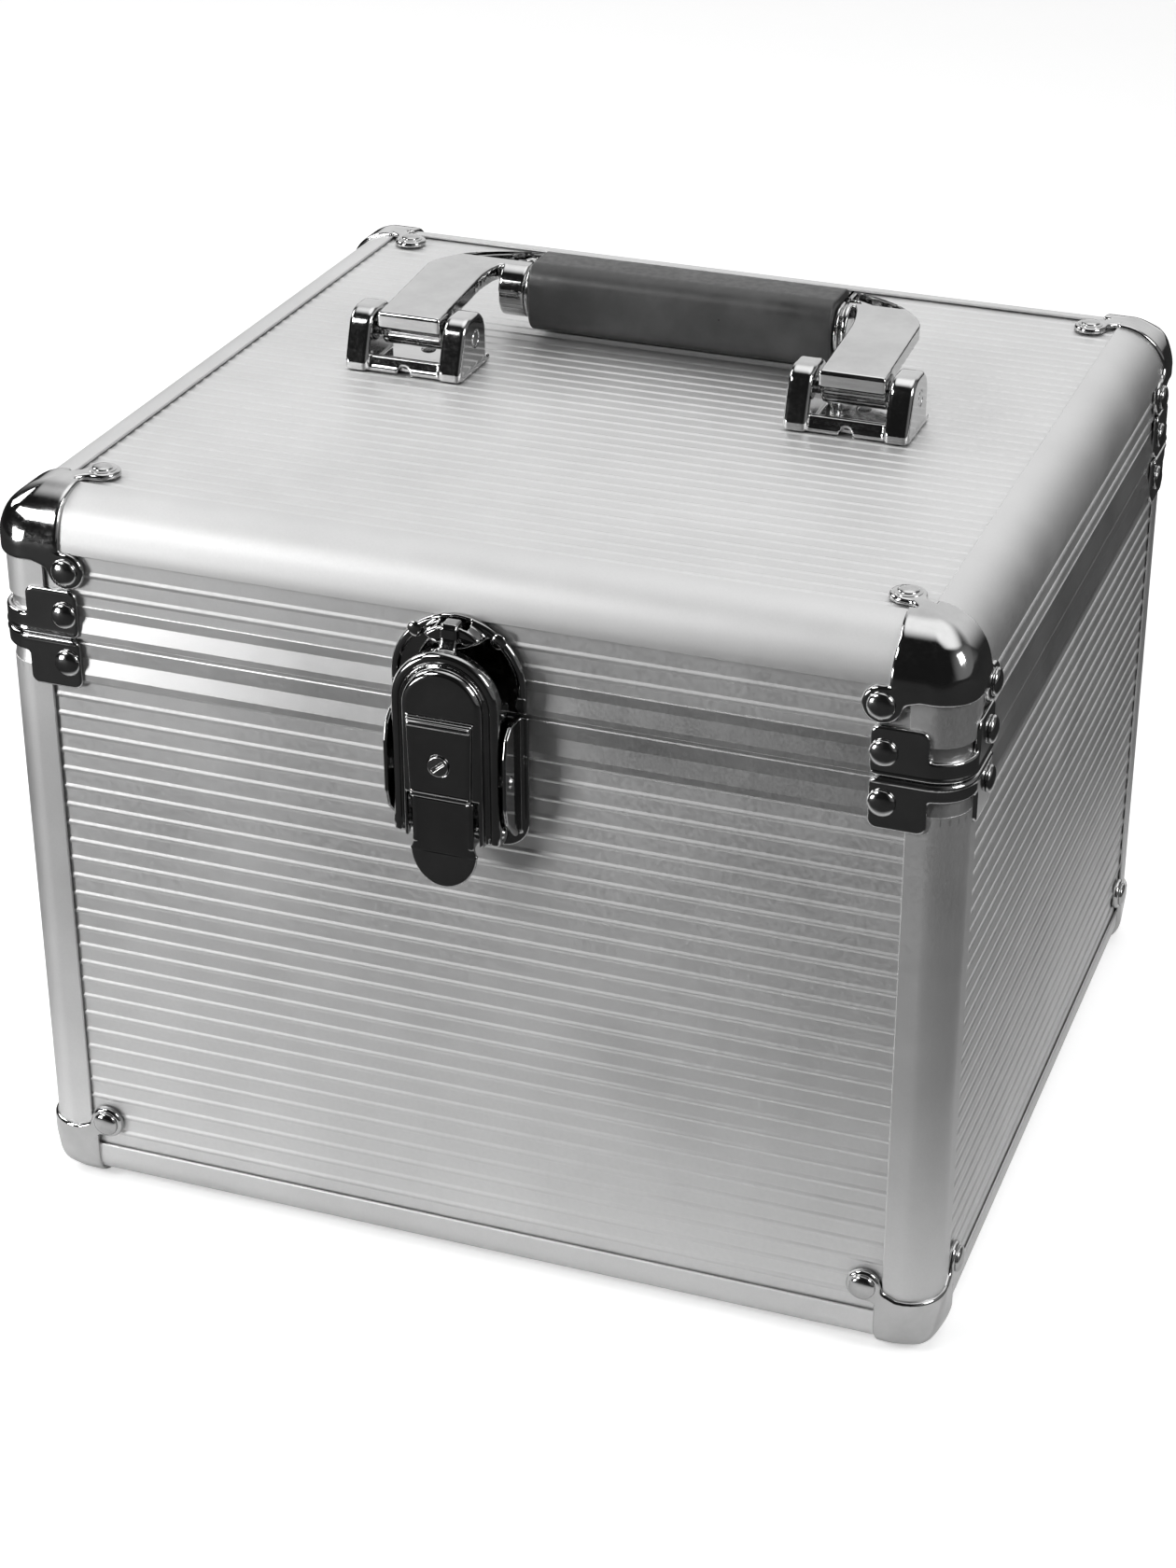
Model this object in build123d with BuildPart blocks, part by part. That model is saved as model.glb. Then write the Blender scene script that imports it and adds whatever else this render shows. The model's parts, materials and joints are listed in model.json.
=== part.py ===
import os
from math import cos, radians, sin

from build123d import *

# Hard drive case: an aluminium case with a hinged lid, a toggle latch and a folding handle.
# Millimetres, Z up, X to the right, -Y to the front. The origin is on the floor under the middle
# of the case, and the four bottom ball corners stand on the floor.

# Overall size over the edge profiles
case_width = 280.0
case_depth = 262.0
case_top = 225.5
lid_height = 41.0
seam_height = case_top - lid_height
corner_proud = 1.2

# Wall panels and edge profiles
panel_thickness = 6.0
profile_leg = 0.7
rib_height = 0.5
rib_base = 1.7
rib_crest = 0.8
wall_rib_pitch = 5.9
top_rib_pitch = 5.45
profile_lip = 1.2
upright_cover = 15.5
upright_radius = 10.0
upright_panel_gap = 10.0
top_cover = 15.5
top_radius = 15.0
top_panel_gap = 12.5
bottom_cover = 12.0
bottom_radius = 8.0
bottom_panel_gap = 9.0
profile_end_gap = 0.5

# Rim frames at the seam
rim_height = 10.0
rim_web = 5.0
rim_joint_gap = 0.2
tongue_inset = 3.0
tongue_width = 1.4
tongue_height = 3.0
groove_inset = 2.6
groove_width = 2.7
groove_depth = 3.4

# Rivets
rivet_head_radius = 3.9
rivet_head_height = 1.8
small_rivet_radius = 2.3
small_rivet_height = 0.9
flush_rivet_radius = 3.4
flush_rivet_depth = 1.2
flush_rivet_inset = 0.2
rivet_shank_radius = 1.8
rivet_hole_gap = 0.1

# Ball corners: reach along the edges, and the rivet's place on each leg
top_corner_reach = 22.0
top_corner_drop = 18.8
top_corner_neck = 19.5
top_leg_rivet = (22.9, 20.4)
top_face_rivet = (23.4, 23.4)
top_lobe_radius = 5.5
bottom_corner_reach = 18.0
bottom_corner_neck = 16.4
bottom_leg_rivet = (20.9, 20.9)
bottom_lobe_radius = 5.0

# Corner brackets at the seam
bracket_near = 9.6
bracket_far = 25.6
lid_bracket_height = 14.6
base_bracket_height = 15.2
lid_band_height = 6.0
base_band_height = 5.4
bracket_corner_radius = 2.6
bracket_rivet_in = 21.7
bracket_rivet_off_seam = 7.3
bracket_seam_gap = 0.3

# Hinges at the back
hinge_spread = 160.0
hinge_width = 46.0
hinge_leaf_height = 22.0
hinge_leaf_thickness = 1.5
hinge_knuckle_lift = 0.8
hinge_knuckle_radius = 3.4
hinge_centre_width = 17.6
hinge_pin_radius = 2.0
hinge_pin_gap = 0.06
hinge_side_gap = 0.3
hinge_swing_gap = 0.5
hinge_rivet_spread = 30.0
hinge_rivet_off_seam = 14.5
hinge_open_angle = 100.0
stop_lug_reach = 12.15
stop_lug_thickness = 1.6
stop_lug_gap = 0.2

# Foam for ten 3.5 inch drives that stand on end, in two rows of five
drive_slot_width = 27.2
drive_slot_length = 102.6
drive_columns = 5
drive_rows = 2
drive_height = 147.0
drive_top_drop = 4.5
foam_drop = 19.5
foam_wall_gap = 0.3
foam_corner_cut = 10.0
pad_inset = 8.8
pad_corner_cut = 10.0
pad_over_drives = 1.0

# Latch: depths are measured forward from the front of the case, and heights from the seam
latch_plate_thickness = 1.2
latch_plate_margin = 2.2
latch_plate_bottom = seam_height - 40.5
latch_plate_gap = 0.5
latch_plate_radius = 8.0
latch_wall_gap = 1.1
latch_wall_thickness = 1.2
latch_wall_reach = 12.0
striker_half_width = 19.5
striker_top = seam_height + 27.0
lever_pivot_depth = 8.5
lever_pivot_height = seam_height - 16.5
loop_pivot_drop = 16.0
latch_pin_radius = 1.6
latch_pin_gap = 0.08
pin_end_clearance = 0.6
loop_half_width = 15.5
loop_top = seam_height + 20.0
loop_bottom = seam_height - 35.3
loop_wall = 1.2
loop_back_depth = 4.5
loop_front_depth = 11.7
loop_high_back_depth = 7.6
loop_high_from = seam_height + 5.5
dome_half_width = 12.0
dome_front_depth = 14.0
plateau_front_depth = 16.2
plateau_top = seam_height + 1.9
plateau_bottom = seam_height - 21.5
plateau_top_half_width = 9.5
plateau_bottom_half_width = 8.2
loop_window_gap = 1.5
pin_notch_gap = 0.8
lever_half_width = 8.9
lever_arm_thickness = 1.4
lever_plate_depth = 12.6
lever_plate_thickness = 1.4
lever_plate_top = seam_height - 22.3
lever_hub_radius = 3.4
tab_flare_height = seam_height - 38.5
tab_flare_half_width = 9.6
tab_neck_half_width = 8.0
tab_end_height = seam_height - 48.8
catch_half_width = 8.8
catch_height = 8.0
catch_centre_height = seam_height + 22.1
catch_depth = 4.4
catch_pocket_half_width = 4.4
catch_pocket_floor = seam_height + 22.1
catch_lip = 1.0
hook_half_width = 3.2
hook_thickness = 1.0
hook_back_depth = 2.2
hook_tip_height = seam_height + 24.4
hook_bridge_height = seam_height + 26.9
striker_rivet = (11.9, seam_height + 21.1)
key_height = seam_height - 11.1
key_radius = 3.0
key_gap = 0.08
key_slot_width = 0.8
key_slot_depth = 0.8
cam_length = 7.0
cam_half_width = 1.8
cam_thickness = 1.2
cam_depth = 5.3

# Handle: heights are measured up from the top panel's ribs
handle_spread = 139.2
bracket_width = 38.0
bracket_front = -6.5
bracket_back = 19.5
bracket_base = 1.5
lug_width = 7.5
lug_depth = 15.5
lug_height = 17.6
lug_top_radius = 6.5
front_strip_height = 4.6
front_strip_thickness = 1.6
front_notch_radius = 2.2
handle_pin_y = 5.0
handle_pin_height = 10.2
handle_pin_radius = 2.5
handle_pin_gap = 0.08
arm_width = 19.6
arm_knuckle_radius = 4.7
arm_top = 17.4
arm_thickness = 2.6
arm_rise_angle = 5.3
arm_front_y = -1.4
arm_straight_to = 36.0
arm_behind_grip = 0.1
grip_centre_y = 45.5
grip_centre_height = 13.0
grip_half_length = 48.9
grip_shift = 3.3
grip_half_section = 10.8
grip_corner_radius = 5.0
grip_end_round = 0.8
ferrule_reach = 56.2
ferrule_radius_y = 9.0
ferrule_radius_z = 8.5
rod_radius = 3.5
rod_gap = 0.1
grip_end_gap = 0.3

floor_pad_top = seam_height - drive_top_drop - drive_height
foam_top = seam_height - foam_drop
half_width = case_width / 2
half_depth = case_depth / 2
case_bottom = corner_proud
panel_setback = profile_leg + rib_height
inner_setback = panel_setback + panel_thickness
lip_setback = inner_setback + profile_lip
panel_top = case_top - profile_leg
X_DIR = Vector(1, 0, 0)
Y_DIR = Vector(0, 1, 0)
Z_DIR = Vector(0, 0, 1)
corner_signs = {"front_left": (-1, -1), "front_right": (1, -1), "back_left": (-1, 1), "back_right": (1, 1)}


def save(builder, node):
    builder.part.label = node
    export_step(builder.part, f"parts/{node}.step")


def front_plane(depth=0.0):
    # local X is X and local Y is Z, looking at the front of the case
    return Plane(origin=(0, -half_depth - depth, 0), x_dir=(1, 0, 0), z_dir=(0, -1, 0))


def left_plane(depth=0.0):
    # local X points to the front and local Y is Z, looking at the left side of the case
    return Plane(origin=(-half_width - depth, 0, 0), x_dir=(0, -1, 0), z_dir=(-1, 0, 0))


def depth_plane(x=0.0):
    # local X is the depth forward of the case's front, and local Y is Z
    return Plane(origin=(x, -half_depth, 0), x_dir=(0, -1, 0), z_dir=(-1, 0, 0))


def side_plane(x=0.0):
    # local X is Y and local Y is Z
    return Plane(origin=(x, 0, 0), x_dir=(0, 1, 0), z_dir=(1, 0, 0))


def mirrored(shape, sign_x, sign_y):
    # a piece made at the front left, carried to another corner
    if sign_x > 0:
        shape = shape.mirror(Plane.YZ)
    if sign_y > 0:
        shape = shape.mirror(Plane.XZ)
    return shape


# Ribbed panels
def ribbed_panel(outer_point, outward, across, low, high, length, pitch):
    # the section runs from low to high along across, and ribs stand out of its outer face
    count = int((high - low) / pitch) - 1
    first = (low + high) / 2 - pitch * (count - 1) / 2
    points = [(-panel_thickness, low), (0, low)]
    for number in range(count):
        centre = first + number * pitch
        points.append((0, centre - rib_base / 2))
        points.append((rib_height, centre - rib_crest / 2))
        points.append((rib_height, centre + rib_crest / 2))
        points.append((0, centre + rib_base / 2))
    points.append((0, high))
    points.append((-panel_thickness, high))
    with BuildPart() as panel:
        with BuildSketch(Plane(origin=outer_point, x_dir=outward, z_dir=outward.cross(across))):
            with BuildLine():
                Polyline(*points, close=True)
            make_face()
        extrude(amount=length / 2, both=True)
    return panel


def wall_panels(prefix, low, high):
    wide = case_width - 2 * upright_panel_gap
    deep = case_depth - 2 * upright_panel_gap
    face_y = half_depth - panel_setback
    face_x = half_width - panel_setback
    walls = {
        "front": ((0, -face_y, 0), -Y_DIR, wide),
        "back": ((0, face_y, 0), Y_DIR, wide),
        "left": ((-face_x, 0, 0), -X_DIR, deep),
        "right": ((face_x, 0, 0), X_DIR, deep),
    }
    for side, (point, outward, length) in walls.items():
        panel = ribbed_panel(point, outward, Z_DIR, low, high, length, wall_rib_pitch)
        save(panel, f"{prefix}_{side}_panel")


def flat_panel(node, height, outward, edge_gap):
    reach = half_depth - edge_gap
    panel = ribbed_panel((0, 0, height), outward, Y_DIR, -reach, reach, case_width - 2 * edge_gap, top_rib_pitch)
    save(panel, node)


# Edge profiles: a rounded angle with a leg over each panel and a lip behind it
def edge_profile(middle, inward_a, inward_b, length, cover, radius, panel_gap):
    reach = max(cover, lip_setback)
    with BuildPart() as profile:
        with BuildSketch(Plane(origin=middle, x_dir=inward_a, z_dir=inward_a.cross(inward_b))):
            with BuildLine():
                Line((0, cover), (0, radius))
                RadiusArc((0, radius), (radius, 0), -radius)
                Polyline(
                    (radius, 0),
                    (cover, 0),
                    (cover, profile_leg),
                    (panel_gap, profile_leg),
                    (panel_gap, inner_setback),
                    (reach, inner_setback),
                    (reach, lip_setback),
                    (lip_setback, lip_setback),
                    (lip_setback, reach),
                    (inner_setback, reach),
                    (inner_setback, panel_gap),
                    (profile_leg, panel_gap),
                    (profile_leg, cover),
                    (0, cover),
                )
            make_face()
        extrude(amount=length / 2, both=True)
    return profile


def horizontal_profiles(prefix, height, inward_z, cover, radius, panel_gap, end_gap):
    wide = case_width - 2 * end_gap
    deep = case_depth - 2 * end_gap
    edges = {
        "front": ((0, -half_depth, height), Y_DIR, wide),
        "back": ((0, half_depth, height), -Y_DIR, wide),
        "left": ((-half_width, 0, height), X_DIR, deep),
        "right": ((half_width, 0, height), -X_DIR, deep),
    }
    for side, (middle, inward, length) in edges.items():
        profile = edge_profile(middle, inward, inward_z, length, cover, radius, panel_gap)
        save(profile, f"{prefix}_{side}")


def upright_profile(sign_x, sign_y, low, high):
    middle = (sign_x * half_width, sign_y * half_depth, (low + high) / 2)
    inward_x = X_DIR * -sign_x
    inward_y = Y_DIR * -sign_y
    return edge_profile(
        middle, inward_x, inward_y, high - low, upright_cover, upright_radius, upright_panel_gap
    )


# Rim frames: a ring round the seam that holds the panels' edges
def ring(inset_outer, inset_inner):
    outer_radius = max(upright_radius - inset_outer, 1.0)
    inner_radius = max(upright_radius - inset_inner, 1.0)
    RectangleRounded(case_width - 2 * inset_outer, case_depth - 2 * inset_outer, outer_radius)
    RectangleRounded(
        case_width - 2 * inset_inner, case_depth - 2 * inset_inner, inner_radius, mode=Mode.SUBTRACT
    )


def rim_frame(seam_face, direction):
    # direction is -1 for the base's frame and 1 for the lid's
    with BuildPart() as frame:
        with BuildSketch(Plane.XY.offset(seam_face)):
            ring(0, lip_setback)
        extrude(amount=rim_web * direction)
        for outer, inner in ((0, profile_leg), (inner_setback, lip_setback)):
            with BuildSketch(Plane.XY.offset(seam_face)):
                ring(outer, inner)
            extrude(amount=rim_height * direction)
        if direction < 0:
            with BuildSketch(Plane.XY.offset(seam_face)):
                ring(tongue_inset, tongue_inset + tongue_width)
            extrude(amount=tongue_height)
        else:
            with BuildSketch(Plane.XY.offset(seam_face)):
                ring(groove_inset, groove_inset + groove_width)
            extrude(amount=groove_depth, mode=Mode.SUBTRACT)
    return frame


# Rounded outer form of the case, and the form that fittings sit on
def case_form(grow):
    wide = case_width + 2 * grow
    deep = case_depth + 2 * grow
    low = case_bottom - grow
    high = case_top + grow
    with BuildPart() as form:
        with BuildSketch(Plane.XY.offset(low)):
            RectangleRounded(wide, deep, upright_radius + grow)
        extrude(amount=high - low)
        for plane, span in ((front_plane(grow), wide), (left_plane(grow), deep)):
            reach = deep if span == wide else wide
            with BuildSketch(plane) as outline:
                with Locations((0, (low + high) / 2)):
                    Rectangle(span, high - low)
                upper = outline.vertices().group_by(Axis.Y)[-1]
                fillet(upper, top_radius + grow)
                lower = outline.vertices().group_by(Axis.Y)[0]
                fillet(lower, bottom_radius + grow)
            extrude(amount=-reach, mode=Mode.INTERSECT)
    return form


def seat_form():
    # the case without fittings: profiles flush with the form, panels one leg lower
    with BuildPart() as form:
        add(case_form(0).part)
        low = case_bottom + bottom_cover
        high = case_top - top_cover
        wide = case_width - 2 * upright_cover
        deep = case_depth - 2 * upright_cover
        rim_reach = rim_height + rim_joint_gap / 2
        bands = ((low, seam_height - rim_reach), (seam_height + rim_reach, high))
        for band_low, band_high in bands:
            middle = (band_low + band_high) / 2
            tall = band_high - band_low
            for sign in (-1, 1):
                with Locations((0, sign * half_depth, middle)):
                    Box(wide, 2 * profile_leg, tall, mode=Mode.SUBTRACT)
                with Locations((sign * half_width, 0, middle)):
                    Box(2 * profile_leg, deep, tall, mode=Mode.SUBTRACT)
        with Locations((0, 0, case_top)):
            Box(case_width - 2 * top_cover, case_depth - 2 * top_cover, 2 * profile_leg, mode=Mode.SUBTRACT)
        with Locations((0, 0, case_bottom)):
            Box(
                case_width - 2 * bottom_cover,
                case_depth - 2 * bottom_cover,
                2 * profile_leg,
                mode=Mode.SUBTRACT,
            )
    return form


# Rivets: a domed head on a short shank
def rivet(head_radius, head_height, shank_length):
    with BuildPart() as piece:
        with BuildSketch(Plane.XZ):
            with BuildLine():
                crown = (head_radius * 0.72, head_height * 0.62)
                Line((0, -shank_length), (0, head_height))
                ThreePointArc((0, head_height), crown, (head_radius, 0))
                Polyline(
                    (head_radius, 0),
                    (rivet_shank_radius, 0),
                    (rivet_shank_radius, -shank_length),
                    (0, -shank_length),
                )
            make_face()
        revolve(axis=Axis.Z)
    return piece.part


def flush_rivet(grow, mouth, shank_length):
    # a countersunk head; grown and with an open mouth, it is the hole for itself
    with BuildPart() as piece:
        with BuildSketch(Plane.XZ):
            with BuildLine():
                Polyline(
                    (0, 0),
                    (flush_rivet_radius + grow, 0),
                    (rivet_shank_radius + grow, -flush_rivet_depth),
                    (rivet_shank_radius + grow, -shank_length),
                    (0, -shank_length),
                    close=True,
                )
            make_face()
        revolve(axis=Axis.Z)
        if mouth > 0:
            with Locations((0, 0, mouth / 2)):
                Cylinder(flush_rivet_radius + grow, mouth)
    return piece.part


def placed(piece, point, outward):
    return piece.moved(Plane(origin=point, z_dir=outward).location)


def rivet_hole(point, outward):
    with Locations(Plane(origin=point, z_dir=outward)):
        Cylinder(rivet_shank_radius + rivet_hole_gap, 12, mode=Mode.SUBTRACT)


# Ball corners
def corner_outline(reach, neck, drop, rivet_place, lobe_radius, to_plane):
    # a patch round the case's corner with a lobe that carries the rivet
    over = 4.0
    rivet_u, rivet_v = rivet_place
    right = radians(-38)
    left = radians(128)
    points = [
        (-over, -over),
        (reach, -over),
        (neck, rivet_v - lobe_radius - 2.5),
        (rivet_u + lobe_radius * cos(right), rivet_v + lobe_radius * sin(right)),
        (rivet_u, rivet_v),
        (rivet_u + lobe_radius * cos(left), rivet_v + lobe_radius * sin(left)),
        (rivet_u - lobe_radius - 5.0, drop),
        (-over, drop),
    ]
    Polygon(*[to_plane(u, v) for u, v in points], align=None)
    with Locations(to_plane(rivet_u, rivet_v)):
        Circle(lobe_radius)


def ball_corner(at_top, outer_form, inner_form):
    edge = case_top if at_top else case_bottom
    down = -1 if at_top else 1
    reach = top_corner_reach if at_top else bottom_corner_reach
    neck = top_corner_neck if at_top else bottom_corner_neck
    drop = top_corner_drop if at_top else bottom_corner_reach
    leg_rivet = top_leg_rivet if at_top else bottom_leg_rivet
    face_rivet = top_face_rivet if at_top else bottom_leg_rivet
    lobe = top_lobe_radius if at_top else bottom_lobe_radius

    def on_front(u, v):
        return (-half_width + u, edge + down * v)

    def on_left(u, v):
        return (half_depth - u, edge + down * v)

    def on_flat(u, v):
        return (-half_width + u, -half_depth + v)

    with BuildPart() as corner:
        with BuildSketch(front_plane(corner_proud)):
            corner_outline(reach, neck, drop, leg_rivet, lobe, on_front)
        extrude(amount=-drop)
        with BuildSketch(left_plane(corner_proud)):
            corner_outline(reach, neck, drop, leg_rivet, lobe, on_left)
        extrude(amount=-drop)
        with BuildSketch(Plane.XY.offset(edge - down * corner_proud)):
            corner_outline(reach, neck, drop, face_rivet, lobe, on_flat)
        extrude(amount=down * drop)
        add(outer_form, mode=Mode.INTERSECT)
        add(inner_form, mode=Mode.SUBTRACT)
        for point, outward in corner_rivet_places(at_top):
            if outward.Z < 0:
                hole = flush_rivet(rivet_hole_gap, flush_rivet_inset, 2 * corner_proud)
                add(placed(hole, point - outward * flush_rivet_inset, outward), mode=Mode.SUBTRACT)
            else:
                rivet_hole(point, outward)
    return corner.part


def corner_rivet_places(at_top):
    # the three rivets of the front left ball corner, on the outer face of its legs
    edge = case_top if at_top else case_bottom
    down = -1 if at_top else 1
    leg_u, leg_v = top_leg_rivet if at_top else bottom_leg_rivet
    face_u, face_v = top_face_rivet if at_top else bottom_leg_rivet
    front = -half_depth - corner_proud
    side = -half_width - corner_proud
    return [
        (Vector(-half_width + leg_u, front, edge + down * leg_v), -Y_DIR),
        (Vector(side, -half_depth + leg_u, edge + down * leg_v), -X_DIR),
        (Vector(-half_width + face_u, -half_depth + face_v, edge - down * corner_proud), Z_DIR * -down),
    ]


# Corner brackets: a flap on each face, joined by a band round the upright edge
def bracket_outline(low, high, band_low, band_high, to_plane):
    middle = to_plane((bracket_near + bracket_far) / 2, (low + high) / 2)
    with Locations(middle):
        RectangleRounded(bracket_far - bracket_near, high - low, bracket_corner_radius)
    band_centre = to_plane((bracket_near + bracket_far) / 4 - 1.0, (band_low + band_high) / 2)
    with Locations(band_centre):
        Rectangle((bracket_near + bracket_far) / 2 + 2.0, band_high - band_low)


def seam_bracket(on_lid, outer_form, inner_form):
    direction = 1 if on_lid else -1
    near = seam_height + direction * bracket_seam_gap / 2
    far = near + direction * (lid_bracket_height if on_lid else base_bracket_height)
    band_far = near + direction * (lid_band_height if on_lid else base_band_height)
    low, high = min(near, far), max(near, far)
    band_low, band_high = min(near, band_far), max(near, band_far)

    with BuildPart() as bracket:
        with BuildSketch(front_plane(corner_proud)):
            bracket_outline(low, high, band_low, band_high, lambda u, z: (-half_width + u, z))
        extrude(amount=-upright_cover)
        with BuildSketch(left_plane(corner_proud)):
            bracket_outline(low, high, band_low, band_high, lambda u, z: (half_depth - u, z))
        extrude(amount=-upright_cover)
        add(outer_form, mode=Mode.INTERSECT)
        add(inner_form, mode=Mode.SUBTRACT)
        for point, outward in bracket_rivet_places(on_lid):
            rivet_hole(point, outward)
    return bracket.part


def bracket_rivet_places(on_lid):
    direction = 1 if on_lid else -1
    height = seam_height + direction * bracket_rivet_off_seam
    front = -half_depth - corner_proud
    side = -half_width - corner_proud
    return [
        (Vector(-half_width + bracket_rivet_in, front, height), -Y_DIR),
        (Vector(side, -half_depth + bracket_rivet_in, height), -X_DIR),
    ]


def corner_fittings():
    outer_form = case_form(corner_proud).part
    inner_form = seat_form().part
    for at_top, prefix in ((True, "lid"), (False, "base")):
        corner = ball_corner(at_top, outer_form, inner_form)
        bracket = seam_bracket(at_top, outer_form, inner_form)
        for name, (sign_x, sign_y) in corner_signs.items():
            with BuildPart() as fitting:
                add(mirrored(corner, sign_x, sign_y))
            save(fitting, f"{prefix}_ball_corner_{name}")
        with BuildPart() as brackets:
            for sign_x, sign_y in corner_signs.values():
                add(mirrored(bracket, sign_x, sign_y))
        save(brackets, f"{prefix}_seam_brackets")


# Hinges
hinge_axis_back = hinge_knuckle_radius + hinge_knuckle_lift
hinge_axis_y = half_depth + hinge_axis_back


def hinge_rivet_places(on_lid):
    direction = 1 if on_lid else -1
    places = []
    for side in (-1, 1):
        for offset in (-1, 1):
            x = side * hinge_spread / 2 + offset * hinge_rivet_spread / 2
            height = seam_height + direction * hinge_rivet_off_seam
            places.append((Vector(x, half_depth + hinge_leaf_thickness, height), Y_DIR))
    return places


def hinge_leaf(centre_x, on_lid):
    direction = 1 if on_lid else -1
    clear = hinge_knuckle_radius + hinge_swing_gap
    strip = hinge_leaf_height - clear
    knuckle_bore = hinge_pin_radius + hinge_pin_gap
    end_width = (hinge_width - hinge_centre_width) / 2 - hinge_side_gap
    end_shift = (hinge_width - end_width) / 2
    knuckles = [(0, hinge_centre_width)] if on_lid else [(-end_shift, end_width), (end_shift, end_width)]
    with BuildPart() as leaf:
        with Locations(
            (
                centre_x,
                half_depth + hinge_leaf_thickness / 2,
                seam_height + direction * (clear + strip / 2),
            )
        ):
            Box(hinge_width, hinge_leaf_thickness, strip)
        for shift, width in knuckles:
            with Locations((centre_x + shift, half_depth + hinge_leaf_thickness / 2, seam_height)):
                with Locations((0, 0, direction * (clear + 0.3) / 2)):
                    Box(width, hinge_leaf_thickness, clear - 0.3 + 0.6)
            with Locations(Location((centre_x + shift, hinge_axis_y, seam_height), (0, 90, 0))):
                Cylinder(hinge_knuckle_radius, width)
        if on_lid:
            with BuildSketch(side_plane(centre_x)):
                opening = radians(hinge_open_angle)
                inner = hinge_axis_back - hinge_leaf_thickness - stop_lug_gap
                corners = [
                    (-inner, 0),
                    (-inner, -stop_lug_reach),
                    (-inner + stop_lug_thickness, -stop_lug_reach),
                    (-inner + stop_lug_thickness, 0),
                ]
                turned = [
                    (
                        hinge_axis_y + y * cos(opening) - z * sin(opening),
                        seam_height + y * sin(opening) + z * cos(opening),
                    )
                    for y, z in corners
                ]
                with BuildLine():
                    Polyline(*turned, close=True)
                make_face()
            extrude(amount=hinge_centre_width / 2, both=True)
        with Locations(Location((centre_x, hinge_axis_y, seam_height), (0, 90, 0))):
            Cylinder(knuckle_bore, hinge_width + 2, mode=Mode.SUBTRACT)
        for point, outward in hinge_rivet_places(on_lid):
            if abs(point.X - centre_x) < hinge_width / 2:
                rivet_hole(point, outward)
    return leaf


def hinges():
    for side, sign in (("left", -1), ("right", 1)):
        centre_x = sign * hinge_spread / 2
        save(hinge_leaf(centre_x, False), f"hinge_base_leaf_{side}")
        save(hinge_leaf(centre_x, True), f"hinge_lid_leaf_{side}")
    with BuildPart() as pins:
        for sign in (-1, 1):
            with Locations(Location((sign * hinge_spread / 2, hinge_axis_y, seam_height), (0, 90, 0))):
                Cylinder(hinge_pin_radius, hinge_width + 1)
    save(pins, "hinge_pins")


# Foam
def foam():
    block_wide = case_width - 2 * (inner_setback + foam_wall_gap)
    block_deep = case_depth - 2 * (inner_setback + foam_wall_gap)
    column_pitch = (block_wide - drive_columns * drive_slot_width) / (drive_columns + 1) + drive_slot_width
    row_pitch = (block_deep - drive_rows * drive_slot_length) / (drive_rows + 1) + drive_slot_length
    with BuildPart() as block:
        with BuildSketch(Plane.XY.offset(floor_pad_top)) as outline:
            Rectangle(block_wide, block_deep)
            chamfer(outline.vertices(), foam_corner_cut)
            with GridLocations(column_pitch, row_pitch, drive_columns, drive_rows):
                Rectangle(drive_slot_width, drive_slot_length, mode=Mode.SUBTRACT)
        extrude(amount=foam_top - floor_pad_top)
    save(block, "foam_block")

    pad_wide = case_width - 2 * pad_inset
    pad_deep = case_depth - 2 * pad_inset
    floor_pad_bottom = case_bottom + lip_setback
    with BuildPart() as floor_pad:
        with BuildSketch(Plane.XY.offset(floor_pad_bottom)) as outline:
            Rectangle(pad_wide, pad_deep)
            chamfer(outline.vertices(), pad_corner_cut)
        extrude(amount=floor_pad_top - floor_pad_bottom)
    save(floor_pad, "foam_floor_pad")

    lid_pad_top = case_top - lip_setback
    lid_pad_bottom = floor_pad_top + drive_height + pad_over_drives
    with BuildPart() as lid_pad:
        with BuildSketch(Plane.XY.offset(lid_pad_bottom)) as outline:
            Rectangle(pad_wide, pad_deep)
            chamfer(outline.vertices(), pad_corner_cut)
        extrude(amount=lid_pad_top - lid_pad_bottom)
    save(lid_pad, "lid_foam_pad")


# Latch
loop_pivot_height = lever_pivot_height - loop_pivot_drop
latch_wall_inner = loop_half_width + latch_wall_gap
latch_plate_half_width = latch_wall_inner + latch_wall_thickness + latch_plate_margin
loop_window_half_width = lever_half_width + loop_window_gap
pin_notch_radius = latch_pin_radius + pin_notch_gap
latch_plate_top = seam_height - latch_plate_gap
striker_bottom = seam_height + latch_plate_gap
base_latch_rivets = [(x, seam_height - drop) for x in (-9.5, 9.5) for drop in (6.0, 28.5)]


def arch(half, top, bottom):
    # an upright outline with a half-round top
    centre = top - half
    with Locations((0, centre)):
        Circle(half)
    with Locations((0, centre - half)):
        Rectangle(2 * half, 2 * half, mode=Mode.SUBTRACT)
    with Locations((0, (centre + bottom) / 2)):
        Rectangle(2 * half, centre - bottom)


def cross_pin(radius, length, depth, height, mode=Mode.ADD):
    with Locations(Location((0, -half_depth - depth, height), (0, 90, 0))):
        Cylinder(radius, length, mode=mode)


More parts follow.
